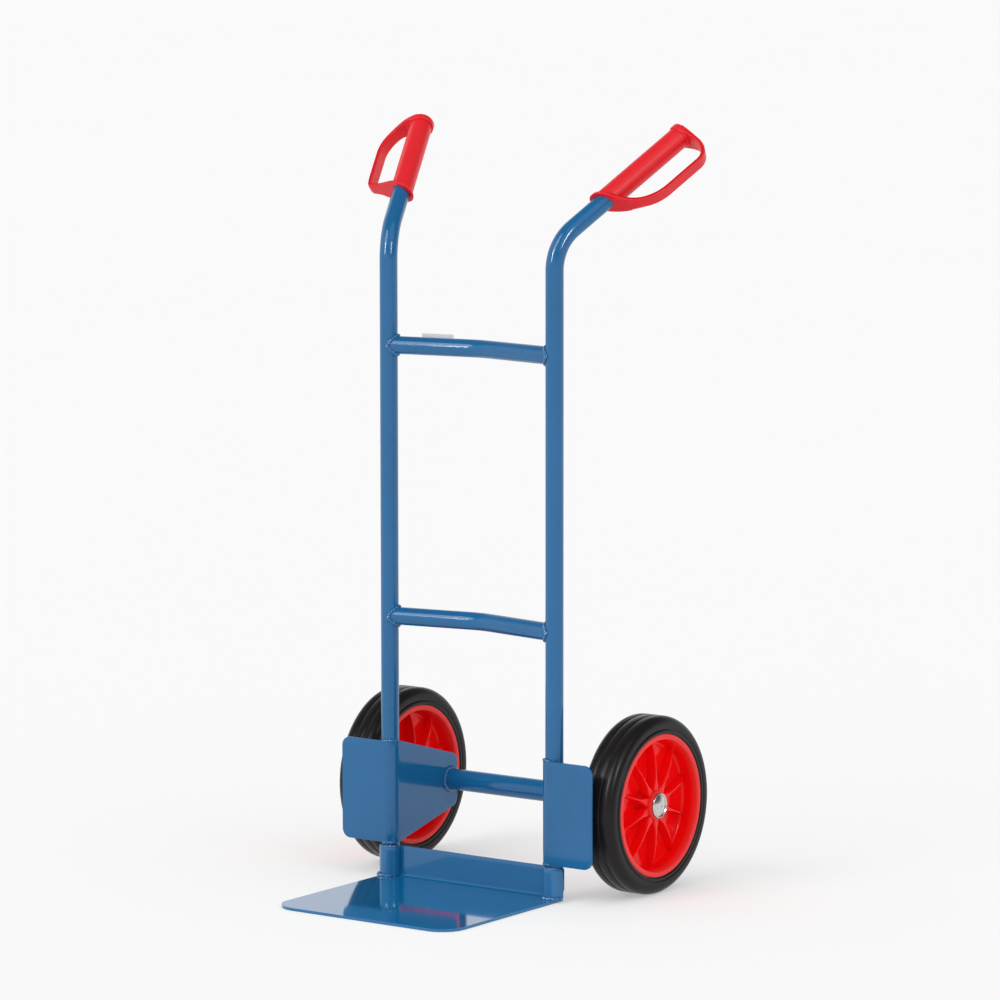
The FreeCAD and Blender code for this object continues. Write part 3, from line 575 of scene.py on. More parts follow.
def cross_tube_path(height):
    """Axis of a cross tube: two straight halves joined by a soft arc at the centre plane."""
    s = bpy.context.scene.truck_frame
    slope = math.atan2(s.cross_bow, s.half_spacing)
    start = s.cross_bend * math.sin(slope)
    apex = s.cross_bow + s.cross_bend * (1 - 1 / math.cos(slope))
    a = np.linspace(-slope, slope, 41)
    arc = np.stack([s.cross_bend * np.sin(a), apex - s.cross_bend * (1 - np.cos(a))], -1)
    inset = s.tube_radius * 0.35
    ends = np.linspace(-s.half_spacing + inset, -start, 20)[:-1]
    left = np.stack([ends, (ends + s.half_spacing) * math.tan(slope)], -1)
    right = left[::-1] * (-1, 1)
    flat = np.concatenate([left, arc, right])
    return np.column_stack([flat, np.full(len(flat), height)])


class HANDTRUCK_OT_tubes(Operator):
    """Bent uprights and bowed cross tubes, each a circle carried along the tube's axis"""

    bl_idname = "handtruck.tubes"
    bl_label = "Tubes"

    def execute(self, context):
        s = context.scene.truck_frame
        for name, side in SIDES:
            path, level = upright_path(side)
            piece = smooth_object(f"{name}_upright_tube", [solid_tube(path, level, s.tube_radius, 64)])
            finish_piece(piece, finish_named("blue_powder_coat"), ROOT_BODY, FRAME_SLOT, f"{name}_upright")
        for node in ("upper_cross_tube", "lower_cross_tube"):
            low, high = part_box(node)
            path = cross_tube_path((low.z + high.z) / 2)
            piece = smooth_object(f"{node}_bar", [solid_tube(path, UP, s.tube_radius, 64)])
            finish_piece(piece, finish_named("blue_powder_coat"), ROOT_BODY, FRAME_SLOT, node)
        paint_node("axle_tube", "blue_powder_coat")
        return {"FINISHED"}


# ---------------------------------------------------------------- sheet parts


def sheet_part(line, bottom, top, thickness, rows):
    """A bent sheet with a closed edge: line(u) is its middle line seen from above.

    The point at (u, v) of each face is line(u) plus or minus half the thickness along the line's
    normal, at height bottom(u) + v (top(u) - bottom(u)).
    """
    tangent = unit(np.gradient(line, axis=0))
    normal = np.stack([-tangent[:, 1], tangent[:, 0]], -1)
    v = np.linspace(0.0, 1.0, rows)[None, :]
    height = bottom[:, None] + v * (top - bottom)[:, None]
    faces = []
    for side in (-0.5, 0.5):
        flat = line + side * thickness * normal
        flat = np.broadcast_to(flat[:, None, :], (len(line), rows, 2))
        faces.append(np.concatenate([flat, height[..., None]], -1))
    inner, outer = faces
    loop = np.concatenate([inner, outer[:, ::-1]], axis=1)
    walls = grid_part(loop, close_columns=True)
    ends = [grid_part(np.stack([inner[i], outer[i]])) for i in (0, -1)]
    return [walls, *ends]


def corner_cut(distance, radius):
    """How far a round corner pulls an edge in, at a distance from the corner's side."""
    inside = np.clip(radius - distance, 0.0, radius)
    return radius - np.sqrt(np.maximum(radius * radius - inside * inside, 0.0))


def distance_from(line, end):
    """Length along a polyline from its first or its last point."""
    along = length_along(line)
    return along if end == "first" else along[-1] - along


class HANDTRUCK_OT_brackets(Operator):
    """Wheel brackets: one sheet in front of the wheel, round the tube and back to the axle"""

    bl_idname = "handtruck.brackets"
    bl_label = "Wheel brackets"

    def execute(self, context):
        s, p = context.scene.truck_frame, context.scene.truck_plates
        radius = s.tube_radius + s.seat_gap + s.sheet / 2
        for name, side in SIDES:
            low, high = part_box(f"{name}_wheel_bracket")
            pulled_in = p.bracket_corner * (1 - np.cos(np.linspace(0, np.pi / 2, 16)))
            edge = s.half_spacing + p.bracket_reach
            corner = np.stack([edge - pulled_in, np.full(16, -radius)], -1)
            plate = np.stack([np.linspace(corner[-1, 0], s.half_spacing, 12), np.full(12, -radius)], -1)
            bend = arc_points((s.half_spacing, 0.0), radius, 270, 180, 24)
            inner = s.half_spacing - radius
            straight = np.stack([np.full(24, inner), np.linspace(0.0, high.y - p.rear_corner, 24)], -1)
            rear = high.y - p.rear_corner * (1 - np.sin(np.linspace(0, np.pi / 2, 14)))
            tail = np.stack([np.full(14, inner), rear], -1)
            line = joined(corner, plate, bend, straight, tail)
            back = np.clip(line[:, 1] / high.y, 0.0, 1.0)
            cut = corner_cut(distance_from(line, "first"), p.bracket_corner)
            cut = cut + corner_cut(distance_from(line, "last"), p.rear_corner)
            bottom = low.z + back * p.rear_foot_rise + cut
            top = high.z - back * p.rear_top_drop - cut
            line = line * (side, 1.0)
            mesh = new_mesh(f"{name}_bracket_sheet", sheet_part(line, bottom, top, s.sheet, 12))
            piece = new_object(mesh.name, mesh)
            round_edges(piece, p.edge_round)
            smooth(piece.data, 30)
            finish_piece(
                piece, finish_named("blue_powder_coat"), ROOT_BODY, FRAME_SLOT, f"{name}_wheel_bracket"
            )
        return {"FINISHED"}


def blade_part(p):
    """The blade: x = v X(y), where X(y) is its half width, rounded at the front corners."""
    across = p.blade_corner * (1 - np.cos(np.linspace(0, np.pi / 2, 24)))
    rear = p.upstand_front + 0.003
    y = np.concatenate([-p.blade_front + across, np.linspace(-p.blade_front + p.blade_corner, rear, 30)[1:]])
    half = p.blade_half_width - corner_cut(y + p.blade_front, p.blade_corner)
    v = np.sin(np.linspace(-np.pi / 2, np.pi / 2, 41))
    x = v[None, :] * half[:, None]
    y = np.broadcast_to(y[:, None], x.shape)
    top = np.stack([x, y, np.full(x.shape, p.blade_thickness)], -1)
    under = top * (1.0, 1.0, 0.0)
    loop = np.concatenate([top, under[:, ::-1]], axis=1)
    walls = grid_part(loop, close_columns=True)
    ends = [grid_part(np.stack([top[i], under[i]])) for i in (0, -1)]
    return [walls, *ends]


def cove_part(p, half):
    """The inside of the fold: a quarter circle hollow carried along the foot of the upstand."""
    r = p.fold_inside
    hollow = arc_points((p.upstand_front - r, p.blade_thickness + r), r, 270, 360, 10)
    inside = [(p.upstand_front + 0.001, p.blade_thickness + r), (p.upstand_front + 0.001, 0.003),
              (p.upstand_front - r, 0.003)]
    profile = np.concatenate([hollow, inside])
    x = np.linspace(-half, half, 25)
    points = np.stack([
        np.broadcast_to(x[:, None], (len(x), len(profile))),
        np.broadcast_to(profile[:, 0], (len(x), len(profile))),
        np.broadcast_to(profile[:, 1], (len(x), len(profile))),
    ], -1)
    middle = profile.mean(0)
    return capped(points, [-half, *middle], [half, *middle])


class HANDTRUCK_OT_toe_plate(Operator):
    """Toe plate: blade, upstand with its ends round the uprights, and the hollow of the fold"""

    bl_idname = "handtruck.toe_plate"
    bl_label = "Toe plate"

    def execute(self, context):
        s, p = context.scene.truck_frame, context.scene.truck_plates
        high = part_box("toe_plate")[1]
        radius = s.tube_radius + s.seat_gap + s.sheet / 2
        level = p.upstand_front + s.sheet / 2
        start = math.degrees(math.asin(p.wrap_reach / radius))
        meet = 180.0 - math.degrees(math.asin(level / radius))
        wrap = arc_points((s.half_spacing, 0.0), radius, start, meet - 360, 60)
        flat = np.stack([np.linspace(wrap[-1, 0], -wrap[-1, 0], 60), np.full(60, level)], -1)
        line = joined(wrap, flat, wrap[::-1] * (-1, 1))
        from_end = np.minimum(distance_from(line, "first"), distance_from(line, "last"))
        foot = p.blade_thickness - 0.0005
        rise = p.wrap_cut * np.clip(1 - from_end / 0.012, 0.0, 1.0) ** 1.4
        top = np.full(len(line), high.z)
        mesh = new_mesh("toe_plate_upstand", sheet_part(line, foot + rise, top, s.sheet, 8))
        upstand = new_object(mesh.name, mesh)
        round_edges(upstand, p.edge_round)
        mesh = new_mesh("toe_plate_fold", [cove_part(p, wrap[-1, 0])])
        fold = new_object(mesh.name, mesh)
        mesh = new_mesh("toe_plate_sheet", blade_part(p))
        blade = new_object(mesh.name, mesh)
        round_edges(blade, p.edge_round * 1.5, 3)
        combine(blade, [upstand, fold], "UNION")
        smooth(blade.data, 30)
        finish_piece(blade, finish_named("blue_plate_coat"), ROOT_BODY, "plate_paint", "toe_plate")
        return {"FINISHED"}


# ---------------------------------------------------------------- weld beads


def bead_part(path, side, radius, ripple, closed=False):
    """A weld bead: a tube along a seam whose radius swells with every ripple."""
    along = length_along(path)
    count = max(3, round(along[-1] / ripple))
    phase = along / along[-1] * count
    swell = 0.92 + 0.26 * np.abs(np.sin(np.pi * phase)) ** 1.5 + 0.09 * np.sin(2.1 * phase + 0.7)
    to_end = np.minimum(along, along[-1] - along)
    taper = 1.0 if closed else np.clip(to_end / (1.4 * radius), 0.15, 1.0) ** 0.5
    return solid_tube(path, side, radius * swell * taper, 16)


def saddle_seam(side, height, slope, s):
    """Where a cross tube meets an upright: both have the radius R, so at angle a round the cross
    tube the seam is R |cos a| out from the axis of the upright, softened at the two sides."""
    a = np.linspace(0.0, 2 * np.pi, 181)
    r = s.tube_radius
    out = np.sqrt((r * np.cos(a)) ** 2 + (0.28 * r) ** 2) + 0.0006
    inward = np.array([-side * math.cos(slope), math.sin(slope), 0.0])
    across = np.array([side * math.sin(slope), math.cos(slope), 0.0])
    ring = r + 0.0002
    centre = np.array([side * s.half_spacing, 0.0, height])
    outward = np.cos(a)[:, None] * UP + np.sin(a)[:, None] * across
    path = centre + out[:, None] * inward + ring * outward
    tangent = unit(np.gradient(path, axis=0))
    return path, unit(outward - (outward * tangent).sum(1, keepdims=True) * tangent)


def round_seam(side, radius, height, start, end, s, count=60):
    """A level seam round an upright, from one angle to another."""
    flat = arc_points((s.half_spacing, 0.0), radius, start, end, count) * (side, 1.0)
    return np.column_stack([flat, np.full(count, height)])


class HANDTRUCK_OT_welds(Operator):
    """Weld beads along the seams of tubes and sheets, painted over with them"""

    bl_idname = "handtruck.welds"
    bl_label = "Weld beads"

    def execute(self, context):
        s, p = context.scene.truck_frame, context.scene.truck_plates
        slope = math.atan2(s.cross_bow, s.half_spacing)
        groups = {"cross_tube_welds": [], "bracket_welds": [], "foot_welds": [], "axle_tube_welds": []}
        for node in ("upper_cross_tube", "lower_cross_tube"):
            low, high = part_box(node)
            for _, side in SIDES:
                seam, across = saddle_seam(side, (low.z + high.z) / 2, slope, s)
                bead = bead_part(seam, across, s.weld_size * 0.9, s.weld_ripple, closed=True)
                groups["cross_tube_welds"].append(bead)
        low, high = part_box("right_wheel_bracket")
        ring = s.tube_radius + 0.0012
        toe_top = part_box("toe_plate")[1].z
        for _, side in SIDES:
            for height in (high.z + 0.0002, low.z - 0.0002):
                seam = round_seam(side, ring, height, 285, 195, s)
                groups["bracket_welds"].append(bead_part(seam, UP, s.weld_size * 0.85, s.weld_ripple))
            seam = round_seam(side, ring, toe_top + 0.0002, 340, 200, s)
            groups["foot_welds"].append(bead_part(seam, UP, s.weld_size * 0.55, s.weld_ripple))
            outer = s.tube_radius + s.seat_gap + s.sheet + 0.0004
            seam = round_seam(side, outer, p.blade_thickness + 0.0010, 345, 225, s)
            groups["foot_welds"].append(bead_part(seam, UP, s.weld_size * 1.25, s.weld_ripple * 1.4))
        low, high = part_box("axle_tube")
        centre = np.array([0.0, (low.y + high.y) / 2, (low.z + high.z) / 2])
        radius = (high.z - low.z) / 2
        a = np.linspace(0.0, 2 * np.pi, 121)
        outward = np.stack([np.zeros(121), np.cos(a), np.sin(a)], -1)
        for _, side in SIDES:
            end = centre + [side * (high.x - 0.0006), 0.0, 0.0]
            seam = end + (radius + 0.0006) * outward
            bead = bead_part(seam, outward, s.weld_size * 1.15, s.weld_ripple * 1.3, closed=True)
            groups["axle_tube_welds"].append(bead)
        for name, parts in groups.items():
            finish_piece(smooth_object(name, parts, 60), finish_named("weld_coat"), ROOT_BODY, FRAME_SLOT)
        return {"FINISHED"}


# ---------------------------------------------------------------- wheels


def on_axle(points, side, centre):
    """Turns a shape made round +Z so that +Z points away from the truck, at a wheel's centre."""
    x, y, z = points[..., 0], points[..., 1], points[..., 2]
    return np.stack([centre[0] + side * z, centre[1] + y, centre[2] - side * x], -1)


def wheel_centre(name):
    low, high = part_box(f"{name}_tyre")
    return np.array((low + high) / 2)


def tyre_profile(w, radius, half):
    """Half section of a tyre, from the middle of the tread out to the rim, then both halves."""
    flat = half - w.shoulder
    near, far = w.groove_place - w.groove_half, w.groove_place + w.groove_half
    floor = radius - w.groove_depth
    tread = [
        (radius, 0.0), (radius, near - 0.0004), (radius - 0.0002, near), (floor + 0.0001, near + 0.0004),
        (floor, w.groove_place), (floor + 0.0001, far - 0.0004), (radius - 0.0002, far),
        (radius, far + 0.0004), (radius - 0.0001, flat - 0.003),
    ]
    a = np.radians(np.linspace(90, 0, 22))
    shoulder = np.stack([
        radius - w.shoulder + w.shoulder * np.sin(a),
        flat + w.shoulder * np.cos(a),
    ], -1)
    rim = w.rim_radius + 0.00015
    wall = [
        (rim + 0.0092, half + 0.0001), (rim + 0.0074, half), (rim + 0.0068, half - 0.0004),
        (rim + 0.0062, half - 0.0007), (rim + 0.0056, half - 0.0004), (rim + 0.0050, half + 0.0004),
        (rim + 0.0042, half + 0.0008), (rim + 0.0020, half + 0.0009), (rim + 0.0008, half + 0.0005),
        (rim, half - 0.0002), (rim, half - 0.0035), (rim - 0.0058, half - 0.0037), (rim - 0.0058, 0.0),
    ]
    part = joined(tread, shoulder, wall)
    return joined(part, (part[::-1] * (1, -1))[1:-1])


class HANDTRUCK_OT_tyres(Operator):
    """Solid tyres: one section with grooves, shoulders and a bead ring, turned round the axle"""

    bl_idname = "handtruck.tyres"
    bl_label = "Tyres"

    def execute(self, context):
        w = context.scene.truck_wheels
        for name, side in SIDES:
            low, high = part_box(f"{name}_tyre")
            profile = tyre_profile(w, (high.z - low.z) / 2, (high.x - low.x) / 2)
            points = on_axle(turn_points(profile, 288), side, wheel_centre(name))
            piece = smooth_object(f"{name}_tyre_rubber", [grid_part(points, True, True)], 50)
            finish_piece(piece, finish_named("tyre_compound"), f"{name}_wheel", "tyre_rubber", f"{name}_tyre")
        return {"FINISHED"}


def rim_side(w, half, hub_face):
    """One side of the rim, from the bore out to the channel: radius, floor and rib crest height.

    The floor runs over the hub, down its wall, along the web and up a fillet and a steep wall to
    the lip. The crest starts a little under the hub face and falls as 1 - q^4, q being the share
    of the way from the hub to the wall, down to the height at which the ribs meet the wall.
    """
    hub = w.hub_radius
    inner = w.rim_radius - w.lip_ring
    hub_part = [
        (w.hub_bore, hub_face), (w.hub_bore + 0.0004, hub_face + 0.0003), (hub - 0.0012, hub_face + 0.0003),
        (hub - 0.0004, hub_face), (hub, hub_face - 0.0008), (hub + 0.0004, hub_face * 0.62),
        (hub + 0.0008, hub_face * 0.34), (hub + 0.0014, w.web_half + 0.0022),
        (hub + 0.0024, w.web_half + 0.0007), (hub + 0.0040, w.web_half + 0.0001),
    ]
    web_end = inner - w.wall_draft - w.wall_fillet
    web = [(r, w.web_half) for r in np.linspace(hub + 0.0065, web_end, 30)]
    turn = 90 - math.degrees(math.atan2(w.wall_draft, half - w.web_half))
    fillet = arc_points((web_end, w.web_half + w.wall_fillet), w.wall_fillet, 270, 270 + turn, 14)
    wall = evenly(joined(fillet[-1], (inner, half - 0.0022)), 10)
    lip = [
        (inner + 0.0003, half - 0.0012), (inner + 0.0008, half - 0.0004), (inner + 0.0016, half),
        (w.rim_radius - 0.0012, half), (w.rim_radius - 0.0004, half - 0.0002), (w.rim_radius, half - 0.0008),
        (w.rim_radius, half - 0.0035), (w.rim_radius - 0.006, half - 0.0035),
    ]
    line = joined(hub_part, web, fillet, wall, lip)
    way = np.clip((line[:, 0] - hub) / (w.rib_end - hub), 0.0, 1.0)
    end = w.web_half + w.rib_foot
    crest = end + (hub_face - w.rib_drop - end) * (1 - way ** w.rib_curve)
    inside = (line[:, 0] > hub + 0.0001) & (line[:, 0] < w.rib_end)
    return line, np.where(inside, np.maximum(crest, line[:, 1]), line[:, 1])


def rim_points(w, half, hub_outer, hub_inner):
    """Both sides of the rim as one closed grid.

    Column j of each tenth lies at a distance d(j) from the middle of a rib, so that the columns
    follow the crest, the flank and the foot of the rib at every radius. Its height is the floor
    plus a share of the rib's height: one on the crest, none past the foot.
    """
    sides = [rim_side(w, half, hub_outer), rim_side(w, half, hub_inner)]
    share = np.array([1.0, 1.0, 0.985, 0.93, 0.45, 0.06, 0.0, 0.0, 0.0, 0.0, 0.0])
    grids = []
    for turn, (line, crest) in zip((1.0, -1.0), sides):
        r, floor = line[:, 0], line[:, 1]
        height = crest - floor
        tenth = np.pi / RIB_COUNT
        near_hub = np.exp(-np.clip(r - w.hub_radius - 0.003, 0, None) / 0.0075)
        top = w.rib_crest + w.rib_flare * near_hub
        foot = top + 0.0004 + 0.025 * height
        most = 0.93 * tenth * r
        scale = np.minimum(1.0, most / (foot + 0.0012))
        top, foot = top * scale, foot * scale
        spread = np.linspace(0, 1, 6)[1:, None]
        steps = [0 * top, top * 0.6, top * 0.86, top, (top + foot) / 2, foot]
        ends = foot + spread * (tenth * r - foot)
        distance = np.concatenate([np.stack(steps), ends]).T
        turned = distance / r[:, None]
        turned = np.concatenate([-turned[:, :0:-1], turned[:, :-1]], axis=1)
        shares = np.concatenate([share[:0:-1], share[:-1]])
        z = floor[:, None] + height[:, None] * shares
        angles = (np.arange(RIB_COUNT) * 2 * tenth)[None, :, None] + turned[:, None, :]
        angles = angles.reshape(len(r), -1)
        z = np.tile(z, (1, RIB_COUNT))
        grids.append(np.stack([r[:, None] * np.cos(angles), r[:, None] * np.sin(angles), turn * z], -1))
    return np.concatenate([grids[0], grids[1][::-1]])


class HANDTRUCK_OT_rims(Operator):
    """Ribbed rims: hub, web, ten ribs on each side and the channel, as one closed surface"""

    bl_idname = "handtruck.rims"
    bl_label = "Rims"

    def execute(self, context):
        w = context.scene.truck_wheels
        for name, side in SIDES:
            low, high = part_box(f"{name}_rim")
            half = (high.x - low.x) / 2
            points = on_axle(rim_points(w, half, w.hub_outer, w.hub_inner), side, wheel_centre(name))
            piece = smooth_object(f"{name}_rim_casting", [grid_part(points, True, True)], 38)
            finish_piece(
                piece, finish_named("rim_moulding_finish"), f"{name}_wheel", "rim_plastic", f"{name}_rim"
            )
        return {"FINISHED"}


class HANDTRUCK_OT_hub_parts(Operator):
    """Domed zinc caps on the axle, and the finishes of axle, washers, spacers and bearings"""

    bl_idname = "handtruck.hub_parts"
    bl_label = "Caps and bearings"

    def execute(self, context):
        for name, side in SIDES:
            low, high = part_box(f"{name}_hub_cap")
            centre = wheel_centre(name)
            inner, outer = sorted((abs(low.x), abs(high.x)))
            radius = (high.z - low.z) / 2
            base = inner - abs(centre[0])
            top = outer - abs(centre[0])
            dome = np.linspace(0.0, 1.0, 24)
            rest = radius * 0.84
            crown = base + 0.0006 + (top - base - 0.0006) * (1 - (1 - dome) ** 2)
            bowl = np.stack([rest * (1 - dome), crown], -1)
            bowl[:, 1] -= 0.0010 * np.exp(-(bowl[:, 0] / 0.0013) ** 2)
            profile = joined(
                [(0.0, base), (radius - 0.0003, base), (radius, base + 0.0003), (radius, base + 0.0010),
                 (radius - 0.0004, base + 0.0015), (radius - 0.0012, base + 0.0016),
                 (radius - 0.0019, base + 0.0009), (radius * 0.86, base + 0.0003)],
                bowl,
            )
            points = on_axle(turn_points(profile, 96), side, centre)
            piece = smooth_object(f"{name}_cap_dome", [grid_part(points, False, True)], 50)
            finish_piece(piece, finish_named("zinc_coating"), ROOT_BODY, "zinc_plate", f"{name}_hub_cap")
            for part in ("inner_washer", "outer_washer", "spacer"):
                paint_node(f"{name}_{part}", "zinc_coating")
            for part in ("bearing_shell", "rollers"):
                paint_node(f"{name}_{part}", "ground_steel_finish")
            paint_node(f"{name}_roller_cage", "cage_moulding_finish")
        paint_node("axle", "zinc_coating")
        return {"FINISHED"}


# ---------------------------------------------------------------- grips

# Outer radii of each guard: the corner near the tube, then the two curves of the far end, in metres.
GUARDS = {"left": (0.010, 0.065, 0.028), "right": (0.070, 0.028, 0.028)}


def guard_line(g, radii):
    """Outside of a guard in the plane of the grip's axis: (distance from the axis, along it).

    It leaves the collar along its lean, turns by one arc to run along the grip and comes back to
    the closed end by two arcs of 45 degrees each.
    """
    base, first, second = radii
    lean = g.collar_lean
    tangent_length = base * math.tan((math.pi / 2 - lean) / 2)
    corner = g.reach * math.tan(lean)
    centre = (g.reach - base, corner + tangent_length)
    base_arc = arc_points(centre, base, math.degrees(lean) - 90, 0, 30)
    middle = g.reach - first * (1 - math.sqrt(0.5))
    end_x = middle - second * math.sqrt(0.5)
    middle_y = g.total - second * (1 - math.sqrt(0.5))
    first_arc = arc_points((g.reach - first, middle_y - first * math.sqrt(0.5)), first, 0, 45, 24)
    second_arc = arc_points((end_x, g.total - second), second, 45, 90, 24)
    return joined((0.0, 0.0), base_arc, first_arc, second_arc, [(0.0, g.total)])


def strap_part(g, radii):
    """The guard strap: a rounded rectangle with grooved edges carried along the guard line.

    At each station the section runs from -H to H across and from 0 to T inwards. H and T grow
    smoothly towards the collar and the closed end.
    """
    line = evenly(guard_line(g, radii), 150)
    tangent = unit(np.gradient(line, axis=0))
    inward = np.stack([-tangent[:, 1], tangent[:, 0]], -1)
    low = line[:, 1] < g.total * 0.5
    out = line[:, 0]
    wide = np.where(low, g.collar_radius, g.cap_radius)
    spread = 0.5 + 0.5 * np.cos(np.pi * np.clip(out / (g.reach * np.where(low, 0.86, 0.80)), 0.0, 1.0))
    half = g.half_width + (wide - g.half_width) * spread
    extra = np.where(low, 0.0, (g.cap_depth - g.strap))
    thick = g.strap + extra * np.clip(1.25 - out / 0.020, 0.0, 1.0) ** 1.5
    edge = 0.0016
    corner = np.exp(-((line[:, 1] - g.reach * math.tan(g.collar_lean)) / 0.012) ** 2) * (out > g.reach * 0.6)
    wide_edge = (edge + 0.0048 * corner)[:, None]
    deep_edge = (edge + 0.0010 * corner)[:, None]
    a = np.linspace(0, np.pi / 2, 6)
    groove_at = 0.55
    groove = g.groove
    parts_across, parts_in = [], []
    flat = np.linspace(-1.0, 1.0, 9)[1:-1]

    def add(across, into):
        parts_across.append(np.broadcast_to(across, (len(line), np.shape(across)[-1])))
        parts_in.append(np.broadcast_to(into, (len(line), np.shape(into)[-1])))

    h, t = half[:, None], thick[:, None]
    add((h - wide_edge) * flat, 0 * h * flat)
    add(h - wide_edge + wide_edge * np.sin(a), deep_edge - deep_edge * np.cos(a))
    g0 = t * groove_at
    depth = np.array([0.0, 0.6 * groove, groove, groove, 0.6 * groove, 0.0])
    shift = np.array([-0.0010, -0.0007, -0.0004, 0.0004, 0.0007, 0.0010])
    add(h - depth, g0 + shift)
    add(h - edge + edge * np.cos(a), t - edge + edge * np.sin(a))
    add(-(h - edge) * flat, t + 0 * h * flat)
    add(-(h - edge) - edge * np.sin(a), t - edge + edge * np.cos(a))
    add(-(h - depth[::-1]), g0 + shift[::-1])
    add(-(h - wide_edge) - wide_edge * np.cos(a), deep_edge - deep_edge * np.sin(a))
    across = np.concatenate(parts_across, axis=1)
    into = np.concatenate(parts_in, axis=1)
    plane = line[:, None, :] + into[..., None] * inward[:, None, :]
    points = np.stack([plane[..., 0], across, plane[..., 1]], -1)
    return capped(points, points[0].mean(0), points[-1].mean(0))


def disc_profile(radius, low, high, low_round, high_round):
    """Section of a disc with rounded edges, from axis to axis."""
    under = arc_points((radius - low_round, low + low_round), low_round, -90, 0, 8)
    over = arc_points((radius - high_round, high - high_round), high_round, 0, 90, 8)
    return joined([(0.0, low)], under, over, [(0.0, high)])


def grip_frame(side, turn, s):
    """Where a grip starts, and its three directions: to the guard, across, and along the grip."""
    heading = np.array([side * math.sin(s.bend_outward), math.cos(s.bend_outward), 0.0])
    outward = np.array([side * math.cos(s.bend_outward), -math.sin(s.bend_outward), 0.0])
    up = np.array(UP)
    along = heading * math.sin(s.bend_turn) + up * math.cos(s.bend_turn)
    down = heading * math.cos(s.bend_turn) - up * math.sin(s.bend_turn)
    guard = outward * math.cos(turn) + down * math.sin(turn)
    start = np.array([side * s.half_spacing, 0.0, s.bend_height + s.bend_radius * math.sin(s.bend_turn)])
    start = start + heading * s.bend_radius * (1 - math.cos(s.bend_turn)) + along * s.handle_run
    return start, guard, np.cross(along, guard), along


class HANDTRUCK_OT_grips(Operator):
    """Grips: sleeve, leaning collar, closed end and knuckle guard in one moulding"""

    bl_idname = "handtruck.grips"
    bl_label = "Grips"

    def execute(self, context):
        s, g = context.scene.truck_frame, context.scene.truck_grips
        lean = math.tan(g.collar_lean)
        for name, side in SIDES:
            start, guard, across, along = grip_frame(side, getattr(g, f"{name}_turn"), s)

            def placed(part):
                points, faces = part
                world = start + points[:, :1] * guard + points[:, 1:2] * across + points[:, 2:] * along
                return world, faces

            def shape(label, part):
                return new_object(label, new_mesh(label, [placed(part)]))

            sleeve = turn_points(disc_profile(g.sleeve_radius, 0.0, g.total - 0.002, 0.0002, 0.0002), 96)
            lift = np.clip(1 - sleeve[..., 2] / 0.02, 0.0, 1.0)
            sleeve[..., 2] += lift * (sleeve[..., 0] * lean + 0.001)
            collar = turn_points(disc_profile(g.collar_radius, 0.0, g.strap, 0.0014, 0.0020), 96)
            collar[..., 2] += collar[..., 0] * lean
            cap = turn_points(disc_profile(g.cap_radius, g.total - g.cap_depth, g.total, 0.0012, 0.0032), 96)
            hole = turn_points(disc_profile(g.bore_radius, -0.05, g.total - 0.006, 0.0001, 0.0001), 64)
            piece = shape(f"{name}_grip_moulding", grid_part(sleeve, close_columns=True))
            added = [
                shape("collar", grid_part(collar, close_columns=True)),
                shape("cap", grid_part(cap, close_columns=True)),
                shape("strap", strap_part(g, GUARDS[name])),
            ]
            combine(piece, added, "UNION")
            combine(piece, [shape("hole", grid_part(hole, close_columns=True))], "DIFFERENCE")
            smooth(piece.data, 33)
            finish_piece(
                piece, finish_named("grip_moulding_finish"), ROOT_BODY, "grip_plastic", f"{name}_grip"
            )
        return {"FINISHED"}


class HANDTRUCK_OT_label(Operator):
    """Blank plate behind the upper cross tube"""

    bl_idname = "handtruck.label"
    bl_label = "Blank plate"

    def execute(self, context):
        paint_node("label_plate", "label_enamel")
        return {"FINISHED"}


# ---------------------------------------------------------------- stage


FLOOR_HALF_SIZE = 90.0
FLOOR_DROP = 0.0002
STRIP_DISTANCE = 3.0
STRIP_HEIGHT = 1.95
STRIP_WIDTH = 0.34
STRIP_LENGTH = 1.1
STRIP_AIM = (0.0, 0.0, 0.7)

# The ceiling darkens between two heights of view direction, tilted so that it comes lower on one side.
CEILING_START = 0.20
CEILING_END = 0.50
CEILING_SHARE = 0.14
CEILING_TILT = 0.35


def floor_material(base, glow):
    """Pale, faintly glowing floor with a very slight mottle, so that it keeps only soft shadows."""
    finish = Finish("floor_paint")
    cloud = finish.remap(finish.noise(0.6, 3.0), 0.3, 0.7, 0.0, 1.0)
    body = finish.blend(cloud, shade(base, 0.998), shade(base, 1.002))
    dull = finish.remap(finish.noise(3.0, 3.0), 0.3, 0.7, 0.88, 0.92)
    return finish.done(body, dull, None, Specular_IOR_Level=0.0, Emission_Strength=glow)


def add_sun(name, energy, direction, spread):
    """A distant lamp in the given direction; a wide spread gives soft shadows."""
    lamp = bpy.data.lights.new(name, "SUN")
    lamp.energy = energy
    lamp.angle = math.radians(spread)
    item = bpy.data.objects.new(name, lamp)
    item.rotation_euler = (-Vector(direction)).to_track_quat("-Z", "Y").to_euler()
    bpy.context.scene.collection.objects.link(item)


def add_panel(name, energy, place, target, width, height):
    """A tall strip light that shows only as a highlight on glossy pieces."""
    lamp = bpy.data.lights.new(name, "AREA")
    lamp.energy = energy
    lamp.shape = "RECTANGLE"
    lamp.size = width
    lamp.size_y = height
    item = bpy.data.objects.new(name, lamp)
    item.location = place
    item.rotation_euler = (Vector(target) - Vector(place)).to_track_quat("-Z", "Y").to_euler()
    item.visible_diffuse = False
    bpy.context.scene.collection.objects.link(item)


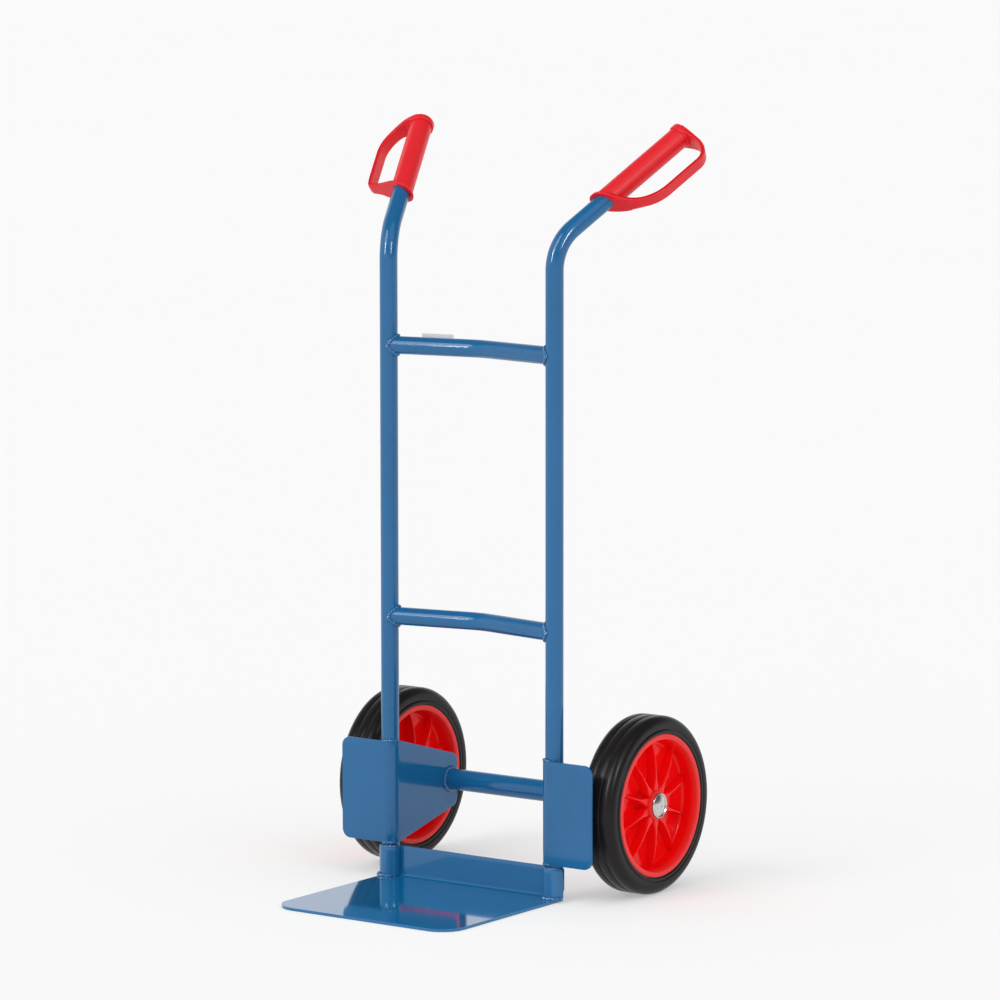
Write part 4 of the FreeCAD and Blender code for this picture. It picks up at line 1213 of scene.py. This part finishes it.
def set_world(ambient, backdrop):
    """Even ambient light; the camera, gloss and glass see the pale backdrop and a dimmer ceiling."""
    world = bpy.data.worlds.new("studio")
    bpy.context.scene.world = world
    world.use_nodes = True
    nodes, links = world.node_tree.nodes, world.node_tree.links
    nodes.clear()
    rays = nodes.new("ShaderNodeLightPath")
    seen = None
    for ray in ("Is Camera Ray", "Is Glossy Ray", "Is Transmission Ray"):
        if seen is None:
            seen = rays.outputs[ray]
            continue
        add = nodes.new("ShaderNodeMath")
        add.operation = "MAXIMUM"
        links.new(seen, add.inputs[0])
        links.new(rays.outputs[ray], add.inputs[1])
        seen = add.outputs["Value"]
    mix = nodes.new("ShaderNodeMixShader")
    links.new(seen, mix.inputs["Fac"])
    for socket, strength in ((1, ambient), (2, backdrop)):
        background = nodes.new("ShaderNodeBackground")
        background.inputs["Color"].default_value = (1.0, 1.0, 1.0, 1.0)
        background.inputs["Strength"].default_value = strength
        links.new(background.outputs["Background"], mix.inputs[socket])
    height = nodes.new("ShaderNodeSeparateXYZ")
    links.new(nodes.new("ShaderNodeTexCoord").outputs["Object"], height.inputs["Vector"])
    ceiling = nodes.new("ShaderNodeMapRange")
    ceiling.inputs["From Min"].default_value = CEILING_START
    ceiling.inputs["From Max"].default_value = CEILING_END
    ceiling.inputs["To Min"].default_value = backdrop
    ceiling.inputs["To Max"].default_value = backdrop * CEILING_SHARE
    lean = nodes.new("ShaderNodeMath")
    lean.operation = "MULTIPLY_ADD"
    lean.inputs[1].default_value = CEILING_TILT
    links.new(height.outputs["X"], lean.inputs[0])
    links.new(height.outputs["Z"], lean.inputs[2])
    links.new(lean.outputs["Value"], ceiling.inputs["Value"])
    links.new(ceiling.outputs["Result"], background.inputs["Strength"])
    output = nodes.new("ShaderNodeOutputWorld")
    links.new(mix.outputs["Shader"], output.inputs["Surface"])


class TruckStageSettings(PropertyGroup):
    """Camera and light."""

    azimuth: angle("Azimuth", 35.553, "Turn of the camera from the front, towards +X")
    elevation: angle("Elevation", 7.377, "Height of the camera above the level of its target")
    roll: angle("Roll", -0.06, "Turn of the camera round its own axis")
    distance: length("Distance", 7.1371, "Camera to its target")
    lens: FloatProperty(name="Lens", default=187.69, min=1.0, subtype="DISTANCE_CAMERA",
                        description="Focal length for a 36 mm sensor")
    target: FloatVectorProperty(name="Target", default=(0.049, 0.0, 0.548), size=3, unit="LENGTH",
                                description="Point that the camera looks at")
    floor_glow: FloatProperty(name="Floor glow", default=0.385, min=0.0,
                              description="Light given off by the floor")
    ambient: FloatProperty(name="Ambient", default=0.70, min=0.0, description="Strength of the even light")
    backdrop: FloatProperty(name="Backdrop", default=1.0, min=0.0, description="Brightness of the backdrop")
    left_strip: angle("Left strip", -14.0, "Turn of the left strip light from the front")
    right_strip: angle("Right strip", 70.0, "Turn of the right strip light from the front")
    strip_power: FloatProperty(name="Strip power", default=30.0, min=0.0, unit="POWER",
                               description="Power of each strip light, seen only in gloss")
    key: FloatProperty(name="Key", default=1.05, min=0.0, description="Strength of the main light")
    fill: FloatProperty(name="Fill", default=0.55, min=0.0, description="Strength of the second light")


class HANDTRUCK_OT_stage(Operator):
    """Pale floor, soft studio light and the camera"""

    bl_idname = "handtruck.stage"
    bl_label = "Stage"

    def execute(self, context):
        scene = context.scene
        t = scene.truck_stage
        span = np.array([-1.0, 1.0]) * FLOOR_HALF_SIZE
        x, y = np.meshgrid(span, span, indexing="ij")
        points = np.stack([x, y, np.full(x.shape, -FLOOR_DROP)], -1)
        mesh = bpy.data.meshes.new("floor")
        corners, faces = grid_part(points)
        mesh.from_pydata(corners.tolist(), [], faces.tolist())
        if mesh.polygons[0].normal.z < 0:
            mesh.flip_normals()
        mesh.materials.append(floor_material(tuple(scene.truck_colours.floor), t.floor_glow))
        new_object("floor", mesh)

        set_world(t.ambient, t.backdrop)
        add_sun("key_light", t.key, (-0.25, -1.0, 0.8), 35.0)
        add_sun("fill_light", t.fill, (0.9, -0.35, 0.8), 60.0)
        for name, turn in (("left_strip", t.left_strip), ("right_strip", t.right_strip)):
            place = Vector((math.sin(turn), -math.cos(turn), 0.0)) * STRIP_DISTANCE
            place.z = STRIP_HEIGHT
            add_panel(name, t.strip_power, place, STRIP_AIM, STRIP_WIDTH, STRIP_LENGTH)

        cos = math.cos(t.elevation)
        away = Vector((math.sin(t.azimuth) * cos, -math.cos(t.azimuth) * cos, math.sin(t.elevation)))
        camera = bpy.data.cameras.new("camera")
        camera.lens = t.lens
        camera.sensor_width = 36.0
        camera.clip_end = 500.0
        item = bpy.data.objects.new("camera", camera)
        item.location = Vector(t.target) + away * t.distance
        aim = (-away).to_track_quat("-Z", "Y")
        item.rotation_euler = (aim.to_matrix() @ Matrix.Rotation(t.roll, 3, "Z")).to_euler()
        scene.collection.objects.link(item)
        scene.camera = item
        scene.view_settings.view_transform = "Standard"
        return {"FINISHED"}


class HANDTRUCK_PT_build(Panel):
    """Builds the hand truck piece by piece"""

    bl_idname = "HANDTRUCK_PT_build"
    bl_label = "Hand Truck"
    bl_space_type = "VIEW_3D"
    bl_region_type = "UI"
    bl_category = "Hand Truck"

    def draw(self, context):
        for operator in OPERATORS:
            self.layout.operator(operator.bl_idname)
        for name in SETTINGS:
            box = self.layout.box()
            group = getattr(context.scene, name)
            for item in group.bl_rna.properties:
                if item.identifier not in ("rna_type", "name"):
                    box.prop(group, item.identifier)


OPERATORS = (
    HANDTRUCK_OT_tubes,
    HANDTRUCK_OT_brackets,
    HANDTRUCK_OT_toe_plate,
    HANDTRUCK_OT_welds,
    HANDTRUCK_OT_tyres,
    HANDTRUCK_OT_rims,
    HANDTRUCK_OT_hub_parts,
    HANDTRUCK_OT_grips,
    HANDTRUCK_OT_label,
    HANDTRUCK_OT_stage,
)
SETTINGS = {
    "truck_frame": TruckFrameSettings,
    "truck_plates": TruckPlateSettings,
    "truck_wheels": TruckWheelSettings,
    "truck_grips": TruckGripSettings,
    "truck_colours": TruckColourSettings,
    "truck_stage": TruckStageSettings,
}


def register():
    for name, settings in SETTINGS.items():
        bpy.utils.register_class(settings)
        setattr(bpy.types.Scene, name, PointerProperty(type=settings))
    for item in (*OPERATORS, HANDTRUCK_PT_build):
        bpy.utils.register_class(item)


def unregister():
    for item in (HANDTRUCK_PT_build, *reversed(OPERATORS)):
        bpy.utils.unregister_class(item)
    for name, settings in reversed(SETTINGS.items()):
        delattr(bpy.types.Scene, name)
        bpy.utils.unregister_class(settings)


def main():
    register()
    for operator in OPERATORS:
        group, name = operator.bl_idname.split(".")
        getattr(getattr(bpy.ops, group), name)()


if __name__ == "__main__":
    main()
